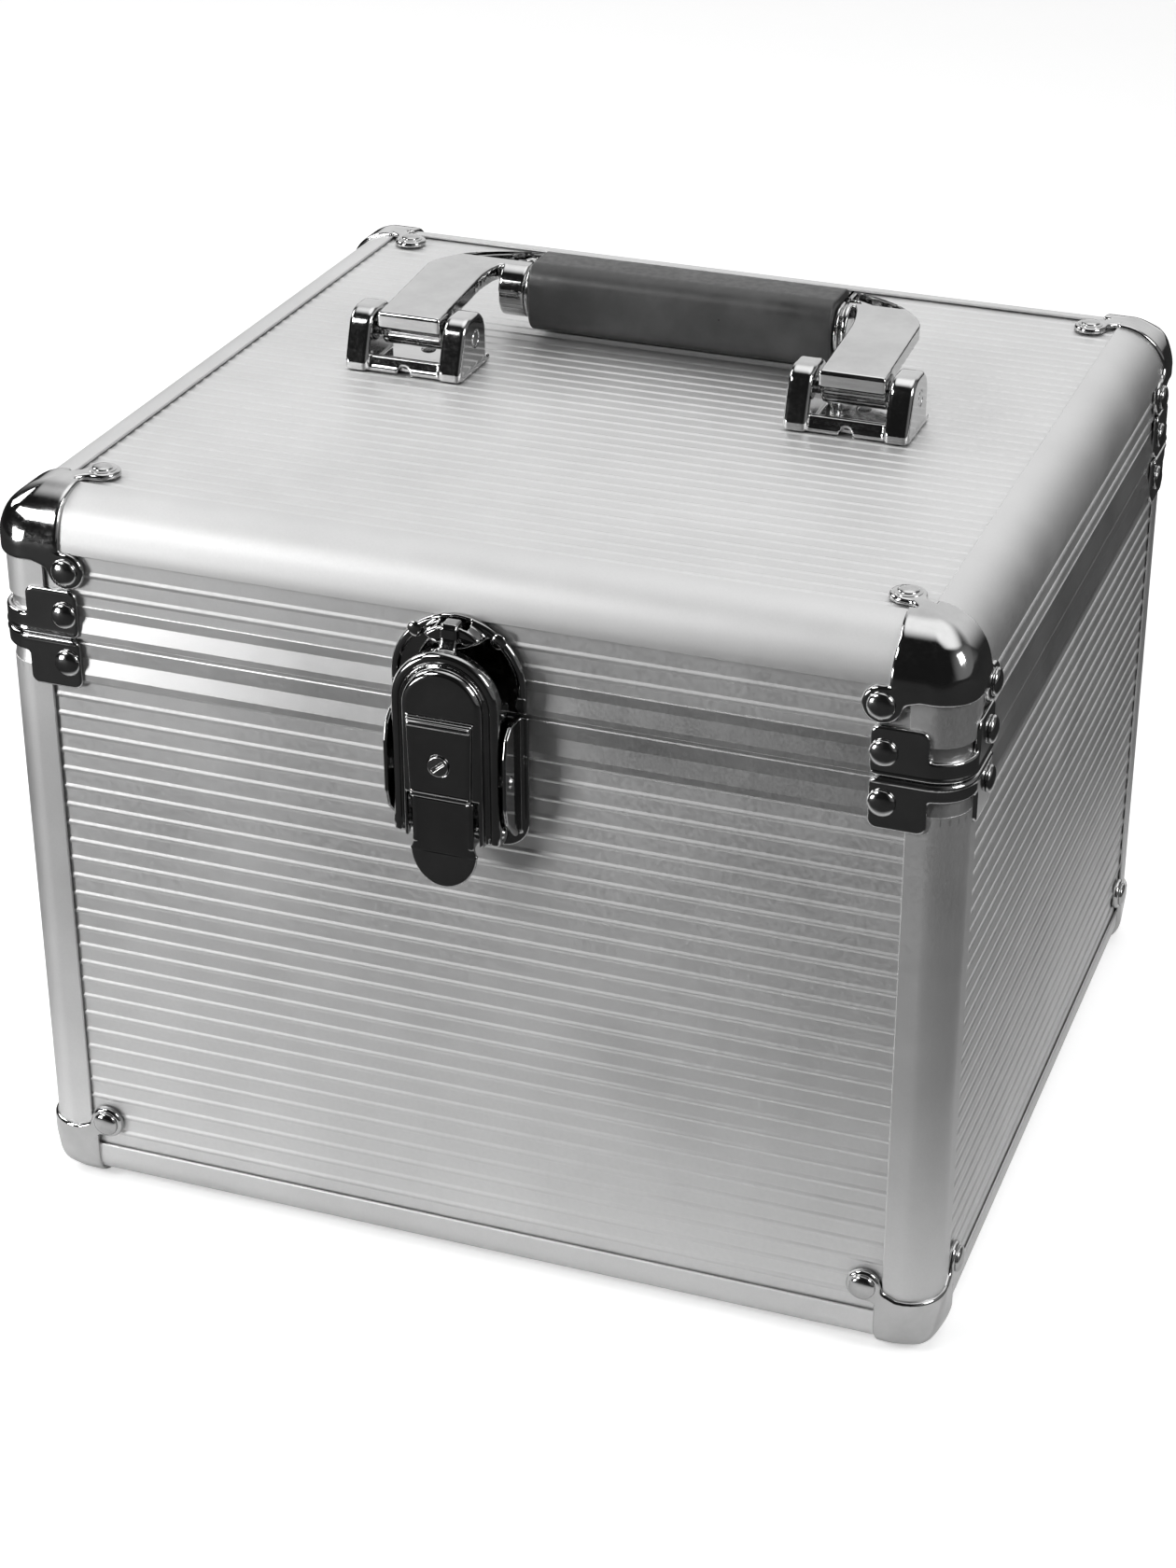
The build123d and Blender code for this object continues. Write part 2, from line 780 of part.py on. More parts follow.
def latch_base_plate():
    with BuildPart() as plate:
        with BuildSketch(front_plane()) as outline:
            with Locations((0, (latch_plate_bottom + latch_plate_top) / 2)):
                Rectangle(2 * latch_plate_half_width, latch_plate_top - latch_plate_bottom)
            lower = outline.vertices().group_by(Axis.Y)[0]
            fillet(lower, latch_plate_radius)
        extrude(amount=latch_plate_thickness)
        reach = latch_wall_reach
        wall_outline = [
            (0, latch_plate_bottom + latch_plate_radius - 2),
            (reach * 0.4, latch_plate_bottom + latch_plate_radius - 2),
            (reach, latch_plate_bottom + 2 * latch_plate_radius),
            (reach, latch_plate_top - 6),
            (reach - 4, latch_plate_top),
            (0, latch_plate_top),
        ]
        for sign in (-1, 1):
            middle = sign * (latch_wall_inner + latch_wall_thickness / 2)
            with BuildSketch(depth_plane(middle)):
                with BuildLine():
                    Polyline(*wall_outline, close=True)
                make_face()
            extrude(amount=latch_wall_thickness / 2, both=True)
        cross_pin(
            latch_pin_radius, 4 * latch_wall_inner, lever_pivot_depth, lever_pivot_height, mode=Mode.SUBTRACT
        )
        for x, height in base_latch_rivets:
            rivet_hole((x, -half_depth - latch_plate_thickness, height), -Y_DIR)
    save(plate, "latch_base_plate")


def latch_pins():
    with BuildPart() as pivot:
        cross_pin(
            latch_pin_radius,
            2 * (latch_wall_inner + latch_wall_thickness + pin_end_clearance),
            lever_pivot_depth,
            lever_pivot_height,
        )
    save(pivot, "latch_pivot_pin")
    with BuildPart() as loop_pin:
        cross_pin(latch_pin_radius, 2 * (loop_half_width + pin_end_clearance), lever_pivot_depth, loop_pivot_height)
    save(loop_pin, "latch_loop_pin")


def latch_striker():
    with BuildPart() as striker:
        with BuildSketch(front_plane()):
            arch(striker_half_width, striker_top, striker_bottom)
        extrude(amount=latch_plate_thickness)
        with BuildSketch(front_plane(latch_plate_thickness)):
            lens_radius = (catch_half_width**2 + (catch_height / 2) ** 2) / catch_height
            with BuildLine():
                left = (-catch_half_width, catch_centre_height)
                right = (catch_half_width, catch_centre_height)
                RadiusArc(left, right, lens_radius)
                RadiusArc(right, left, lens_radius)
            make_face()
        extrude(amount=catch_depth, taper=10)
        pocket_top = catch_centre_height + catch_height
        with BuildSketch(front_plane(latch_plate_thickness)):
            with Locations((0, (catch_pocket_floor + pocket_top) / 2)):
                Rectangle(2 * catch_pocket_half_width, pocket_top - catch_pocket_floor)
        extrude(amount=catch_depth - catch_lip, mode=Mode.SUBTRACT)
        for sign in (-1, 1):
            x, height = striker_rivet
            rivet_hole((sign * x, -half_depth - latch_plate_thickness, height), -Y_DIR)
    save(striker, "latch_striker")


def latch_loop():
    with BuildPart() as loop:
        with BuildSketch(front_plane(loop_back_depth)):
            arch(loop_half_width, loop_top, loop_bottom)
        extrude(amount=loop_front_depth - loop_back_depth)
        with BuildSketch(front_plane(loop_front_depth)):
            arch(dome_half_width, loop_top - loop_half_width + dome_half_width, loop_bottom)
        extrude(amount=dome_front_depth - loop_front_depth)
        with BuildSketch(front_plane(dome_front_depth)):
            with BuildLine():
                Polyline(
                    (-plateau_top_half_width, plateau_top),
                    (plateau_top_half_width, plateau_top),
                    (plateau_bottom_half_width, plateau_bottom),
                    (-plateau_bottom_half_width, plateau_bottom),
                    close=True,
                )
            make_face()
        extrude(amount=plateau_front_depth - dome_front_depth)
        with BuildSketch(front_plane(loop_back_depth)):
            arch(loop_half_width - loop_wall, loop_top - loop_wall, loop_bottom - 1)
        extrude(amount=loop_front_depth - loop_wall - loop_back_depth, mode=Mode.SUBTRACT)
        with BuildSketch(front_plane(loop_front_depth - loop_wall)):
            dome_inner = dome_half_width - loop_wall
            arch(dome_inner, loop_top - loop_half_width + dome_inner, loop_bottom - 1)
        extrude(amount=dome_front_depth - loop_front_depth, mode=Mode.SUBTRACT)
        with BuildSketch(front_plane(dome_front_depth - loop_wall)):
            with BuildLine():
                Polyline(
                    (-plateau_top_half_width + loop_wall, plateau_top - loop_wall),
                    (plateau_top_half_width - loop_wall, plateau_top - loop_wall),
                    (plateau_bottom_half_width - loop_wall, plateau_bottom - 1),
                    (-plateau_bottom_half_width + loop_wall, plateau_bottom - 1),
                    close=True,
                )
            make_face()
        extrude(amount=plateau_front_depth - dome_front_depth, mode=Mode.SUBTRACT)
        # window below the plateau, where the lever's tab comes out
        with BuildSketch(front_plane()):
            window_low = loop_bottom - 1
            with Locations((0, (window_low + plateau_bottom) / 2)):
                Rectangle(2 * loop_window_half_width, plateau_bottom - window_low)
        extrude(amount=plateau_front_depth + 1, mode=Mode.SUBTRACT)
        # shallower at the top, so that the loop clears the catch as it lifts
        with BuildSketch(front_plane()):
            with Locations((0, (loop_high_from + loop_top) / 2 + 1)):
                Rectangle(2 * loop_half_width + 2, loop_top - loop_high_from + 2)
        extrude(amount=loop_high_back_depth, mode=Mode.SUBTRACT)
        # notches that let the lever's pivot pin into the loop's sides from behind
        cross_pin(
            pin_notch_radius, 2 * loop_half_width + 2, lever_pivot_depth, lever_pivot_height, mode=Mode.SUBTRACT
        )
        with BuildSketch(front_plane()):
            with Locations((0, lever_pivot_height)):
                Rectangle(2 * loop_half_width + 2, 2 * pin_notch_radius)
        extrude(amount=lever_pivot_depth, mode=Mode.SUBTRACT)
        # hook that goes up in front of the catch, over it and down behind its lip
        with BuildSketch(depth_plane()):
            with BuildLine():
                Polyline(
                    (hook_back_depth, hook_tip_height),
                    (hook_back_depth, hook_bridge_height),
                    (loop_high_back_depth + hook_thickness, hook_bridge_height),
                    (loop_high_back_depth + hook_thickness, loop_top - loop_wall),
                    (loop_high_back_depth, loop_top - loop_wall),
                    (loop_high_back_depth, hook_bridge_height - hook_thickness),
                    (hook_back_depth + hook_thickness, hook_bridge_height - hook_thickness),
                    (hook_back_depth + hook_thickness, hook_tip_height),
                    close=True,
                )
            make_face()
        extrude(amount=hook_half_width, both=True)
        cross_pin(
            latch_pin_radius, 2 * loop_half_width + 2, lever_pivot_depth, loop_pivot_height, mode=Mode.SUBTRACT
        )
        with Locations(Location((0, -half_depth - plateau_front_depth, key_height), (90, 0, 0))):
            Cylinder(key_radius + key_gap, 4 * loop_wall, mode=Mode.SUBTRACT)
    save(loop, "latch_loop")


def latch_lever():
    arm_middle = lever_half_width - lever_arm_thickness / 2
    arm_front = lever_plate_depth + lever_plate_thickness
    with BuildPart() as lever:
        with BuildSketch(front_plane(lever_plate_depth)):
            with BuildLine():
                Polyline(
                    (-lever_half_width, lever_plate_top),
                    (lever_half_width, lever_plate_top),
                    (tab_neck_half_width, lever_pivot_height - loop_pivot_drop),
                    (tab_flare_half_width, tab_flare_height),
                    (-tab_flare_half_width, tab_flare_height),
                    (-tab_neck_half_width, lever_pivot_height - loop_pivot_drop),
                    close=True,
                )
            make_face()
            with Locations((0, tab_flare_height)):
                Ellipse(tab_flare_half_width, tab_flare_height - tab_end_height)
        extrude(amount=lever_plate_thickness)
        for sign in (-1, 1):
            with BuildSketch(depth_plane(sign * arm_middle)):
                with Locations((lever_pivot_depth, lever_pivot_height)):
                    Circle(lever_hub_radius)
                with Locations((lever_pivot_depth, loop_pivot_height)):
                    Circle(lever_hub_radius)
                with BuildLine():
                    Polyline(
                        (lever_pivot_depth - lever_hub_radius, lever_pivot_height),
                        (lever_pivot_depth + lever_hub_radius, lever_pivot_height),
                        (lever_plate_depth - 0.3, lever_plate_top + 0.3),
                        (arm_front, lever_plate_top),
                        (arm_front, loop_pivot_height - lever_hub_radius),
                        (lever_pivot_depth, loop_pivot_height - lever_hub_radius),
                        (lever_pivot_depth - lever_hub_radius, loop_pivot_height),
                        close=True,
                    )
                make_face()
            extrude(amount=lever_arm_thickness / 2, both=True)
        for height in (lever_pivot_height, loop_pivot_height):
            cross_pin(
                latch_pin_radius + latch_pin_gap,
                4 * lever_half_width,
                lever_pivot_depth,
                height,
                mode=Mode.SUBTRACT,
            )
    save(lever, "latch_lever")


def latch_key():
    plug_back = cam_depth + cam_thickness
    plug_front = plateau_front_depth + 0.4
    with BuildPart() as plug:
        with BuildSketch(front_plane(plug_back)):
            with Locations((0, key_height)):
                Circle(key_radius)
        extrude(amount=plug_front - plug_back)
        with BuildSketch(front_plane(plug_front)):
            with Locations(Location((0, key_height), 40)):
                Rectangle(2 * key_radius - 1.4, key_slot_width)
        extrude(amount=-key_slot_depth, mode=Mode.SUBTRACT)
    save(plug, "latch_key_plug")
    with BuildPart() as cam:
        with BuildSketch(front_plane(cam_depth)):
            with Locations((0, key_height)):
                Circle(key_radius)
            with Locations((cam_length / 2, key_height)):
                Rectangle(cam_length, 2 * cam_half_width)
        extrude(amount=cam_thickness)
    save(cam, "latch_lock_cam")


# Rivet groups
def rivet_groups():
    leg_rivet = rivet(rivet_head_radius, rivet_head_height, corner_proud + profile_leg)
    sunk_rivet = flush_rivet(0, 0, corner_proud + profile_leg - flush_rivet_inset)
    band_rivet = rivet(rivet_head_radius, rivet_head_height, corner_proud)
    hinge_rivet = rivet(small_rivet_radius, small_rivet_height, hinge_leaf_thickness)
    latch_rivet = rivet(small_rivet_radius, small_rivet_height, latch_plate_thickness)
    latch_places = {
        True: [(sign * striker_rivet[0], striker_rivet[1]) for sign in (-1, 1)],
        False: base_latch_rivets,
    }
    for on_lid, prefix in ((True, "lid"), (False, "base")):
        with BuildPart() as rivets:
            for sign_x, sign_y in corner_signs.values():
                for point, outward in corner_rivet_places(on_lid):
                    if outward.Z < 0:
                        head = placed(sunk_rivet, point - outward * flush_rivet_inset, outward)
                    else:
                        head = placed(leg_rivet, point, outward)
                    add(mirrored(head, sign_x, sign_y))
                for point, outward in bracket_rivet_places(on_lid):
                    add(mirrored(placed(band_rivet, point, outward), sign_x, sign_y))
            for point, outward in hinge_rivet_places(on_lid):
                add(placed(hinge_rivet, point, outward))
            for x, height in latch_places[on_lid]:
                point = Vector(x, -half_depth - latch_plate_thickness, height)
                add(placed(latch_rivet, point, -Y_DIR))
            if on_lid:
                for sign in (-1, 1):
                    point = Vector(sign * handle_spread / 2, bracket_rivet_y, panel_top + bracket_base)
                    add(placed(bracket_rivet(), point, Z_DIR))
        save(rivets, f"{prefix}_rivets")


# Handle
bracket_rivet_y = 13.0


def bracket_rivet():
    return rivet(small_rivet_radius, small_rivet_height, bracket_base)


def handle_bracket(centre_x):
    lug_shift = (bracket_width - lug_width) / 2
    with BuildPart() as bracket:
        with BuildSketch(Plane.XY.offset(panel_top)):
            with Locations((centre_x, (bracket_front + bracket_back) / 2)):
                RectangleRounded(bracket_width, bracket_back - bracket_front, 2)
        extrude(amount=bracket_base)
        for sign in (-1, 1):
            with BuildSketch(side_plane(centre_x + sign * lug_shift)) as lug:
                with Locations((bracket_front + lug_depth / 2, panel_top + lug_height / 2)):
                    Rectangle(lug_depth, lug_height)
                upper = lug.vertices().group_by(Axis.Y)[-1]
                fillet(upper, lug_top_radius)
            extrude(amount=lug_width / 2, both=True)
        with BuildSketch(side_plane(centre_x)):
            with Locations((bracket_front + front_strip_thickness / 2, panel_top + front_strip_height / 2)):
                Rectangle(front_strip_thickness, front_strip_height)
        extrude(amount=bracket_width / 2 - lug_width / 2, both=True)
        with Locations(Location((centre_x, bracket_front, panel_top), (90, 0, 0))):
            Cylinder(front_notch_radius, 3 * front_strip_thickness, mode=Mode.SUBTRACT)
        with Locations(Location((centre_x, handle_pin_y, panel_top + handle_pin_height), (0, 90, 0))):
            Cylinder(handle_pin_radius, bracket_width + 2, mode=Mode.SUBTRACT)
        rivet_hole((centre_x, bracket_rivet_y, panel_top + bracket_base), Z_DIR)
    return bracket


def handle_arm(sign):
    # each arm is drawn on the right and the left one is mirrored; the sleeve sits a little to the right
    centre_x = handle_spread / 2
    inner_x = centre_x - arm_width / 2
    outer_x = centre_x + arm_width / 2
    end_x = grip_half_length + grip_end_gap + sign * grip_shift
    back_y = grip_centre_y + grip_half_section + arm_behind_grip
    axis_height = panel_top + handle_pin_height
    # the plate rises towards the grip, whose top it meets
    rise = radians(arm_rise_angle)
    plate_plane = Plane(
        origin=(0, 0, panel_top + arm_top - arm_thickness),
        x_dir=(1, 0, 0),
        z_dir=(0, -sin(rise), cos(rise)),
    )
    with BuildPart() as arm:
        with BuildSketch(plate_plane):
            with BuildLine():
                Line((inner_x, arm_front_y), (outer_x, arm_front_y))
                Line((outer_x, arm_front_y), (outer_x, arm_straight_to))
                Bezier(
                    (outer_x, arm_straight_to),
                    (outer_x, back_y - 15),
                    (outer_x - 12, back_y - 3),
                    (end_x, back_y),
                )
                Line((end_x, back_y), (end_x, grip_centre_y - 4))
                Bezier(
                    (end_x, grip_centre_y - 4),
                    (inner_x - 1, grip_centre_y - 5),
                    (inner_x, grip_centre_y - 12),
                    (inner_x, grip_centre_y - 18),
                )
                Line((inner_x, grip_centre_y - 18), (inner_x, arm_front_y))
            make_face()
        extrude(amount=arm_thickness)
        with BuildSketch(side_plane(centre_x)):
            with Locations((handle_pin_y, axis_height)):
                Circle(arm_knuckle_radius)
            with BuildLine():
                Polyline(
                    (handle_pin_y, axis_height - arm_knuckle_radius * 0.4),
                    (handle_pin_y - arm_knuckle_radius, axis_height - arm_knuckle_radius * 0.4),
                    (arm_front_y, axis_height + arm_knuckle_radius * 0.6),
                    (arm_front_y, panel_top + arm_top - arm_thickness / 2),
                    (arm_front_y + arm_thickness * 2, panel_top + arm_top - arm_thickness / 2),
                    (handle_pin_y, axis_height + arm_knuckle_radius * 0.6),
                    close=True,
                )
            make_face()
        extrude(amount=arm_width / 2, both=True)
        with BuildSketch(side_plane(end_x)):
            with Locations((grip_centre_y, panel_top + grip_centre_height)):
                Ellipse(ferrule_radius_y, ferrule_radius_z)
        extrude(amount=ferrule_reach - end_x)
        with Locations(Location((centre_x, handle_pin_y, axis_height), (0, 90, 0))):
            Cylinder(handle_pin_radius + handle_pin_gap, arm_width + 2, mode=Mode.SUBTRACT)
        with Locations(
            Location((end_x, grip_centre_y, panel_top + grip_centre_height), (0, 90, 0))
        ):
            Cylinder(rod_radius, 2 * (ferrule_reach - 1 - end_x), mode=Mode.SUBTRACT)
    part = arm.part if sign > 0 else arm.part.mirror(Plane.YZ)
    with BuildPart() as placed_arm:
        add(part)
    return placed_arm


def handle():
    axis_height = panel_top + grip_centre_height
    for side, sign in (("left", -1), ("right", 1)):
        save(handle_bracket(sign * handle_spread / 2), f"handle_bracket_{side}")
        save(handle_arm(sign), f"handle_arm_{side}")
    with BuildPart() as pins:
        for sign in (-1, 1):
            centre = (sign * handle_spread / 2, handle_pin_y, panel_top + handle_pin_height)
            with Locations(Location(centre, (0, 90, 0))):
                Cylinder(handle_pin_radius, bracket_width)
    save(pins, "handle_pins")
    with BuildPart() as grip:
        with BuildSketch(side_plane(grip_shift)):
            with Locations((grip_centre_y, axis_height)):
                RectangleRounded(
                    2 * grip_half_section, 2 * grip_half_section, grip_corner_radius
                )
        extrude(amount=grip_half_length, both=True)
        fillet(grip.edges().group_by(Axis.X)[0] + grip.edges().group_by(Axis.X)[-1], grip_end_round)
        with Locations(Location((grip_shift, grip_centre_y, axis_height), (0, 90, 0))):
            Cylinder(rod_radius + rod_gap, 2 * grip_half_length + 2, mode=Mode.SUBTRACT)
    save(grip, "handle_grip")
    with BuildPart() as rod:
        with Locations(Location((0, grip_centre_y, axis_height), (0, 90, 0))):
            Cylinder(rod_radius, 2 * (ferrule_reach - 1))
    save(rod, "handle_rod")


os.makedirs("parts", exist_ok=True)

# Base
base_wall_low = case_bottom + bottom_panel_gap
wall_panels("base", base_wall_low, seam_height - rim_joint_gap / 2 - rim_web)
flat_panel("base_bottom_panel", case_bottom + panel_setback, -Z_DIR, bottom_panel_gap)
horizontal_profiles(
    "base_bottom_profile",
    case_bottom,
    Z_DIR,
    bottom_cover,
    bottom_radius,
    bottom_panel_gap,
    upright_cover + profile_end_gap,
)
for name, (sign_x, sign_y) in corner_signs.items():
    low = case_bottom + max(bottom_cover, lip_setback) + profile_end_gap
    high = seam_height - rim_joint_gap / 2 - rim_height
    save(upright_profile(sign_x, sign_y, low, high), f"base_corner_profile_{name}")
save(rim_frame(seam_height - rim_joint_gap / 2, -1), "base_rim_frame")

# Lid
wall_panels("lid", seam_height + rim_joint_gap / 2 + rim_web, case_top - top_panel_gap)
flat_panel("lid_top_panel", case_top - panel_setback, Z_DIR, top_panel_gap)
horizontal_profiles(
    "lid_edge_profile", case_top, -Z_DIR, top_cover, top_radius, top_panel_gap, top_cover + profile_end_gap
)
with BuildPart() as lid_uprights:
    for sign_x, sign_y in corner_signs.values():
        low = seam_height + rim_joint_gap / 2 + rim_height
        high = case_top - top_cover - profile_end_gap
        add(upright_profile(sign_x, sign_y, low, high).part)
save(lid_uprights, "lid_corner_profiles")
save(rim_frame(seam_height + rim_joint_gap / 2, 1), "lid_rim_frame")

corner_fittings()
hinges()
foam()
latch_base_plate()
latch_pins()
latch_striker()
latch_loop()
latch_lever()
latch_key()
handle()
rivet_groups()
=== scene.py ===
import json
from math import cos, pi, radians, sin

import bmesh
import bpy
import numpy as np
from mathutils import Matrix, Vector


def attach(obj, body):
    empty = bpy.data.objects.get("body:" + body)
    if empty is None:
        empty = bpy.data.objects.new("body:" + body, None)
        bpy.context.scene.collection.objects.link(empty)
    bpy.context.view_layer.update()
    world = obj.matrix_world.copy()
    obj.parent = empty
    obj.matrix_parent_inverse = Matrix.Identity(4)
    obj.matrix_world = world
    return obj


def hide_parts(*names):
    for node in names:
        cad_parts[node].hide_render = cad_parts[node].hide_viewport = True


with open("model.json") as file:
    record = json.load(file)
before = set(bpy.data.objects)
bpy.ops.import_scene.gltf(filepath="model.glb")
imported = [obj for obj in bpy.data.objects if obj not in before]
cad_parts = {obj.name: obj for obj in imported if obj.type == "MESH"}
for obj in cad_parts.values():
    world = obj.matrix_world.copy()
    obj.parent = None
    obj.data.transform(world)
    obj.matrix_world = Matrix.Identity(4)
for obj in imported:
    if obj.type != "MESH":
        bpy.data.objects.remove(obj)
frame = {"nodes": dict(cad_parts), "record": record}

# Aluminium hard drive case. Sizes in the dictionaries are in millimetres; Blender works in metres.
mm = 0.001
xDir, yDir, zDir = Vector((1, 0, 0)), Vector((0, 1, 0)), Vector((0, 0, 1))


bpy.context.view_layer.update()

caseSize = {
    "halfWidth": 140.0, "halfDepth": 131.0, "bottom": 1.2, "top": 225.5, "seam": 184.5,
    "uprightRadius": 10.0, "topRadius": 15.0, "bottomRadius": 8.0, "proud": 1.2,
}
# Each corner with the signs that mirror the front left one into it.
cornerNames = {"front_left": (1, 1), "front_right": (-1, 1), "back_left": (1, -1), "back_right": (-1, -1)}


# An input is linked where a socket is given, and set where a value is given.
def fillInputs(tree, node, inputs):
    for key, value in inputs.items():
        if isinstance(value, bpy.types.NodeSocket):
            tree.links.new(value, node.inputs[key])
        else:
            node.inputs[key].default_value = value
    return node


def addNode(tree, kind, inputs=None, **settings):
    node = tree.nodes.new(kind)
    for key, value in settings.items():
        setattr(node, key, value)
    return fillInputs(tree, node, inputs or {})


def maths(tree, operation, *values, kind="Math", output=0, **settings):
    inputs = dict(enumerate(values))
    return addNode(tree, "ShaderNode" + kind, inputs, operation=operation, **settings).outputs[output]


def ranged(tree, source, low, high, fromLow=0.3, fromHigh=0.7, **settings):
    inputs = {"Value": source, "From Min": fromLow, "From Max": fromHigh, "To Min": low, "To Max": high}
    return addNode(tree, "ShaderNodeMapRange", inputs, **settings).outputs["Result"]


def mixed(tree, share, first, second):
    return addNode(tree, "ShaderNodeMix", {0: share, 6: first, 7: second}, data_type="RGBA").outputs[2]


def noise(tree, place, scale, detail, **more):
    inputs = {"Vector": place, "Scale": scale, "Detail": detail, **more}
    return addNode(tree, "ShaderNodeTexNoise", inputs).outputs["Fac"]


def objectPlace(tree):
    return addNode(tree, "ShaderNodeTexCoord").outputs["Object"]


def newGroup(name, kind, inputs, outputs):
    group = bpy.data.node_groups.new(name, kind)
    for side, sockets in (("INPUT", inputs), ("OUTPUT", outputs)):
        for label, socketKind in sockets.items():
            group.interface.new_socket(label, in_out=side, socket_type="NodeSocket" + socketKind)
    return group, group.nodes.new("NodeGroupInput").outputs


grainPlan = {
    "streakDetail": 3.0, "blotchDetail": 5.0, "blotchRoughness": 0.6, "speckScale": 260.0, "speckSize": (0.02, 0.12),
}


# Fine streaks, soft blotches and small specks from object coordinates.
def makeGrainGroup():
    plan = grainPlan
    inputs = {"Streak Stretch": "Vector", "Streak Scale": "Float", "Blotch Scale": "Float"}
    outputs = {"Streaks": "Float", "Blotches": "Float", "Specks": "Float"}
    group, given = newGroup("metalGrain", "ShaderNodeTree", inputs, outputs)
    place = objectPlace(group)
    stretched = maths(group, "MULTIPLY", place, given["Streak Stretch"], kind="VectorMath")
    specks = addNode(group, "ShaderNodeTexVoronoi", {"Vector": place, "Scale": plan["speckScale"]})
    roughness = plan["blotchRoughness"]
    addNode(group, "NodeGroupOutput", {
        "Streaks": noise(group, stretched, given["Streak Scale"], plan["streakDetail"]),
        "Blotches": noise(group, place, given["Blotch Scale"], plan["blotchDetail"], Roughness=roughness),
        "Specks": ranged(group, specks.outputs["Distance"], 1.0, 0.0, *plan["speckSize"]),
    })
    return group


wearPlan = {
    "width": 0.5, "samples": 4, "turned": (0.99, 0.8), "scale": 220.0, "detail": 4.0, "breakup": 0.5, "least": 0.4,
}


# Mask of rubbed edges, from the bevelled normal against the true one.
def makeWearGroup():
    plan = wearPlan
    group, _ = newGroup("edgeWear", "ShaderNodeTree", {}, {"Mask": "Float"})
    bevel = addNode(group, "ShaderNodeBevel", {"Radius": plan["width"] * mm}, samples=plan["samples"])
    normals = bevel.outputs["Normal"], addNode(group, "ShaderNodeNewGeometry").outputs["Normal"]
    turned = maths(group, "DOT_PRODUCT", *normals, kind="VectorMath", output="Value")
    edge = ranged(group, turned, 0.0, 1.0, *plan["turned"])
    broken = noise(group, objectPlace(group), plan["scale"], plan["detail"])
    broken = maths(group, "MULTIPLY_ADD", broken, plan["breakup"], plan["least"])
    addNode(group, "NodeGroupOutput", {"Mask": maths(group, "MULTIPLY", edge, broken)})
    return group


grainGroup = makeGrainGroup()
wearGroup = makeWearGroup()


def grey(value):
    return (value, value, value, 1.0)


# What a look has where it names nothing else.
plainLook = {
    "metallic": 1.0, "stretch": (1.0, 1.0, 1.0), "streakScale": 900.0, "blotchScale": 18.0, "blotchRoughness": 0.04,
    "speckDepth": 0.0, "bump": 0.1, "bumpDistance": 0.05,
}
looks = {
    "panel_aluminium": {
        "dark": 0.66, "light": 0.74, "worn": 0.85, "roughness": (0.48, 0.60), "streakScale": 700.0, "bump": 0.12,
    },
    "profile_aluminium": {
        "dark": 0.65, "light": 0.73, "worn": 0.84, "roughness": (0.52, 0.60), "streakScale": 1500.0,
    },
    "rim_aluminium": {
        "dark": 0.70, "light": 0.78, "worn": 0.9, "roughness": (0.36, 0.44), "streakScale": 1500.0, "bump": 0.05,
    },
    "corner_chrome": {
        "dark": 0.46, "light": 0.58, "roughness": (0.06, 0.12), "blotchScale": 60.0, "bump": 0.04,
    },
    "rivet_chrome": {
        "dark": 0.40, "light": 0.55, "roughness": (0.08, 0.16), "blotchScale": 200.0, "bump": 0.05,
    },
    "latch_chrome": {
        "dark": 0.34, "light": 0.44, "roughness": (0.05, 0.11), "blotchScale": 60.0, "bump": 0.04,
    },
    "handle_chrome": {
        "dark": 0.49, "light": 0.59, "roughness": (0.05, 0.12), "blotchScale": 60.0, "bump": 0.04,
    },
    "hinge_steel": {"dark": 0.42, "light": 0.55, "roughness": (0.22, 0.34), "stretch": (8.0, 1.0, 1.0)},
    "pin_steel": {"dark": 0.45, "light": 0.58, "roughness": (0.14, 0.26), "stretch": (8.0, 1.0, 1.0)},
    "lock_steel": {"dark": 0.40, "light": 0.55, "roughness": (0.14, 0.24), "blotchScale": 300.0},
    # The rubber's lighter colour blotches are partly painted sheen spots; its roughness blotches vary the real sheen.
    "grip_rubber": {
        "metallic": 0.0, "dark": 0.032, "light": 0.07, "worn": 0.10, "roughness": (0.34, 0.5),
        "blotchRoughness": 0.1, "blotchScale": 45.0, "streakScale": 500.0, "bump": 0.25, "bumpDistance": 0.12,
    },
    "foam": {
        "metallic": 0.0, "dark": 0.012, "light": 0.03, "worn": 0.045, "roughness": (0.8, 0.95),
        "blotchScale": 90.0, "streakScale": 420.0, "bump": 0.7, "bumpDistance": 0.5, "speckDepth": -0.8,
    },
}


def newMaterial(name):
    material = bpy.data.materials.new(name)
    material.use_nodes = True
    return material, material.node_tree


# A Principled surface whose colour, roughness and bump come from the shared grain and wear.
def surface(name, ownLook):
    look = plainLook | ownLook
    material, tree = newMaterial(name)
    inputs = {
        "Streak Stretch": look["stretch"], "Streak Scale": look["streakScale"], "Blotch Scale": look["blotchScale"],
    }
    grain = addNode(tree, "ShaderNodeGroup", inputs, node_tree=grainGroup).outputs
    wear = addNode(tree, "ShaderNodeGroup", node_tree=wearGroup).outputs["Mask"]
    tone = mixed(tree, ranged(tree, grain["Blotches"], 0.0, 1.0), grey(look["dark"]), grey(look["light"]))
    streaked = ranged(tree, grain["Streaks"], *look["roughness"])
    blotched = ranged(tree, grain["Blotches"], -look["blotchRoughness"], look["blotchRoughness"])
    height = maths(tree, "MULTIPLY_ADD", grain["Specks"], look["speckDepth"], grain["Streaks"])
    inputs = {"Strength": look["bump"], "Distance": look["bumpDistance"] * mm, "Height": height}
    fillInputs(tree, tree.nodes["Principled BSDF"], {
        "Metallic": look["metallic"],
        "Base Color": mixed(tree, wear, tone, grey(look.get("worn", look["light"]))),
        "Roughness": maths(tree, "ADD", streaked, blotched),
        "Normal": addNode(tree, "ShaderNodeBump", inputs).outputs["Normal"],
    })
    return material


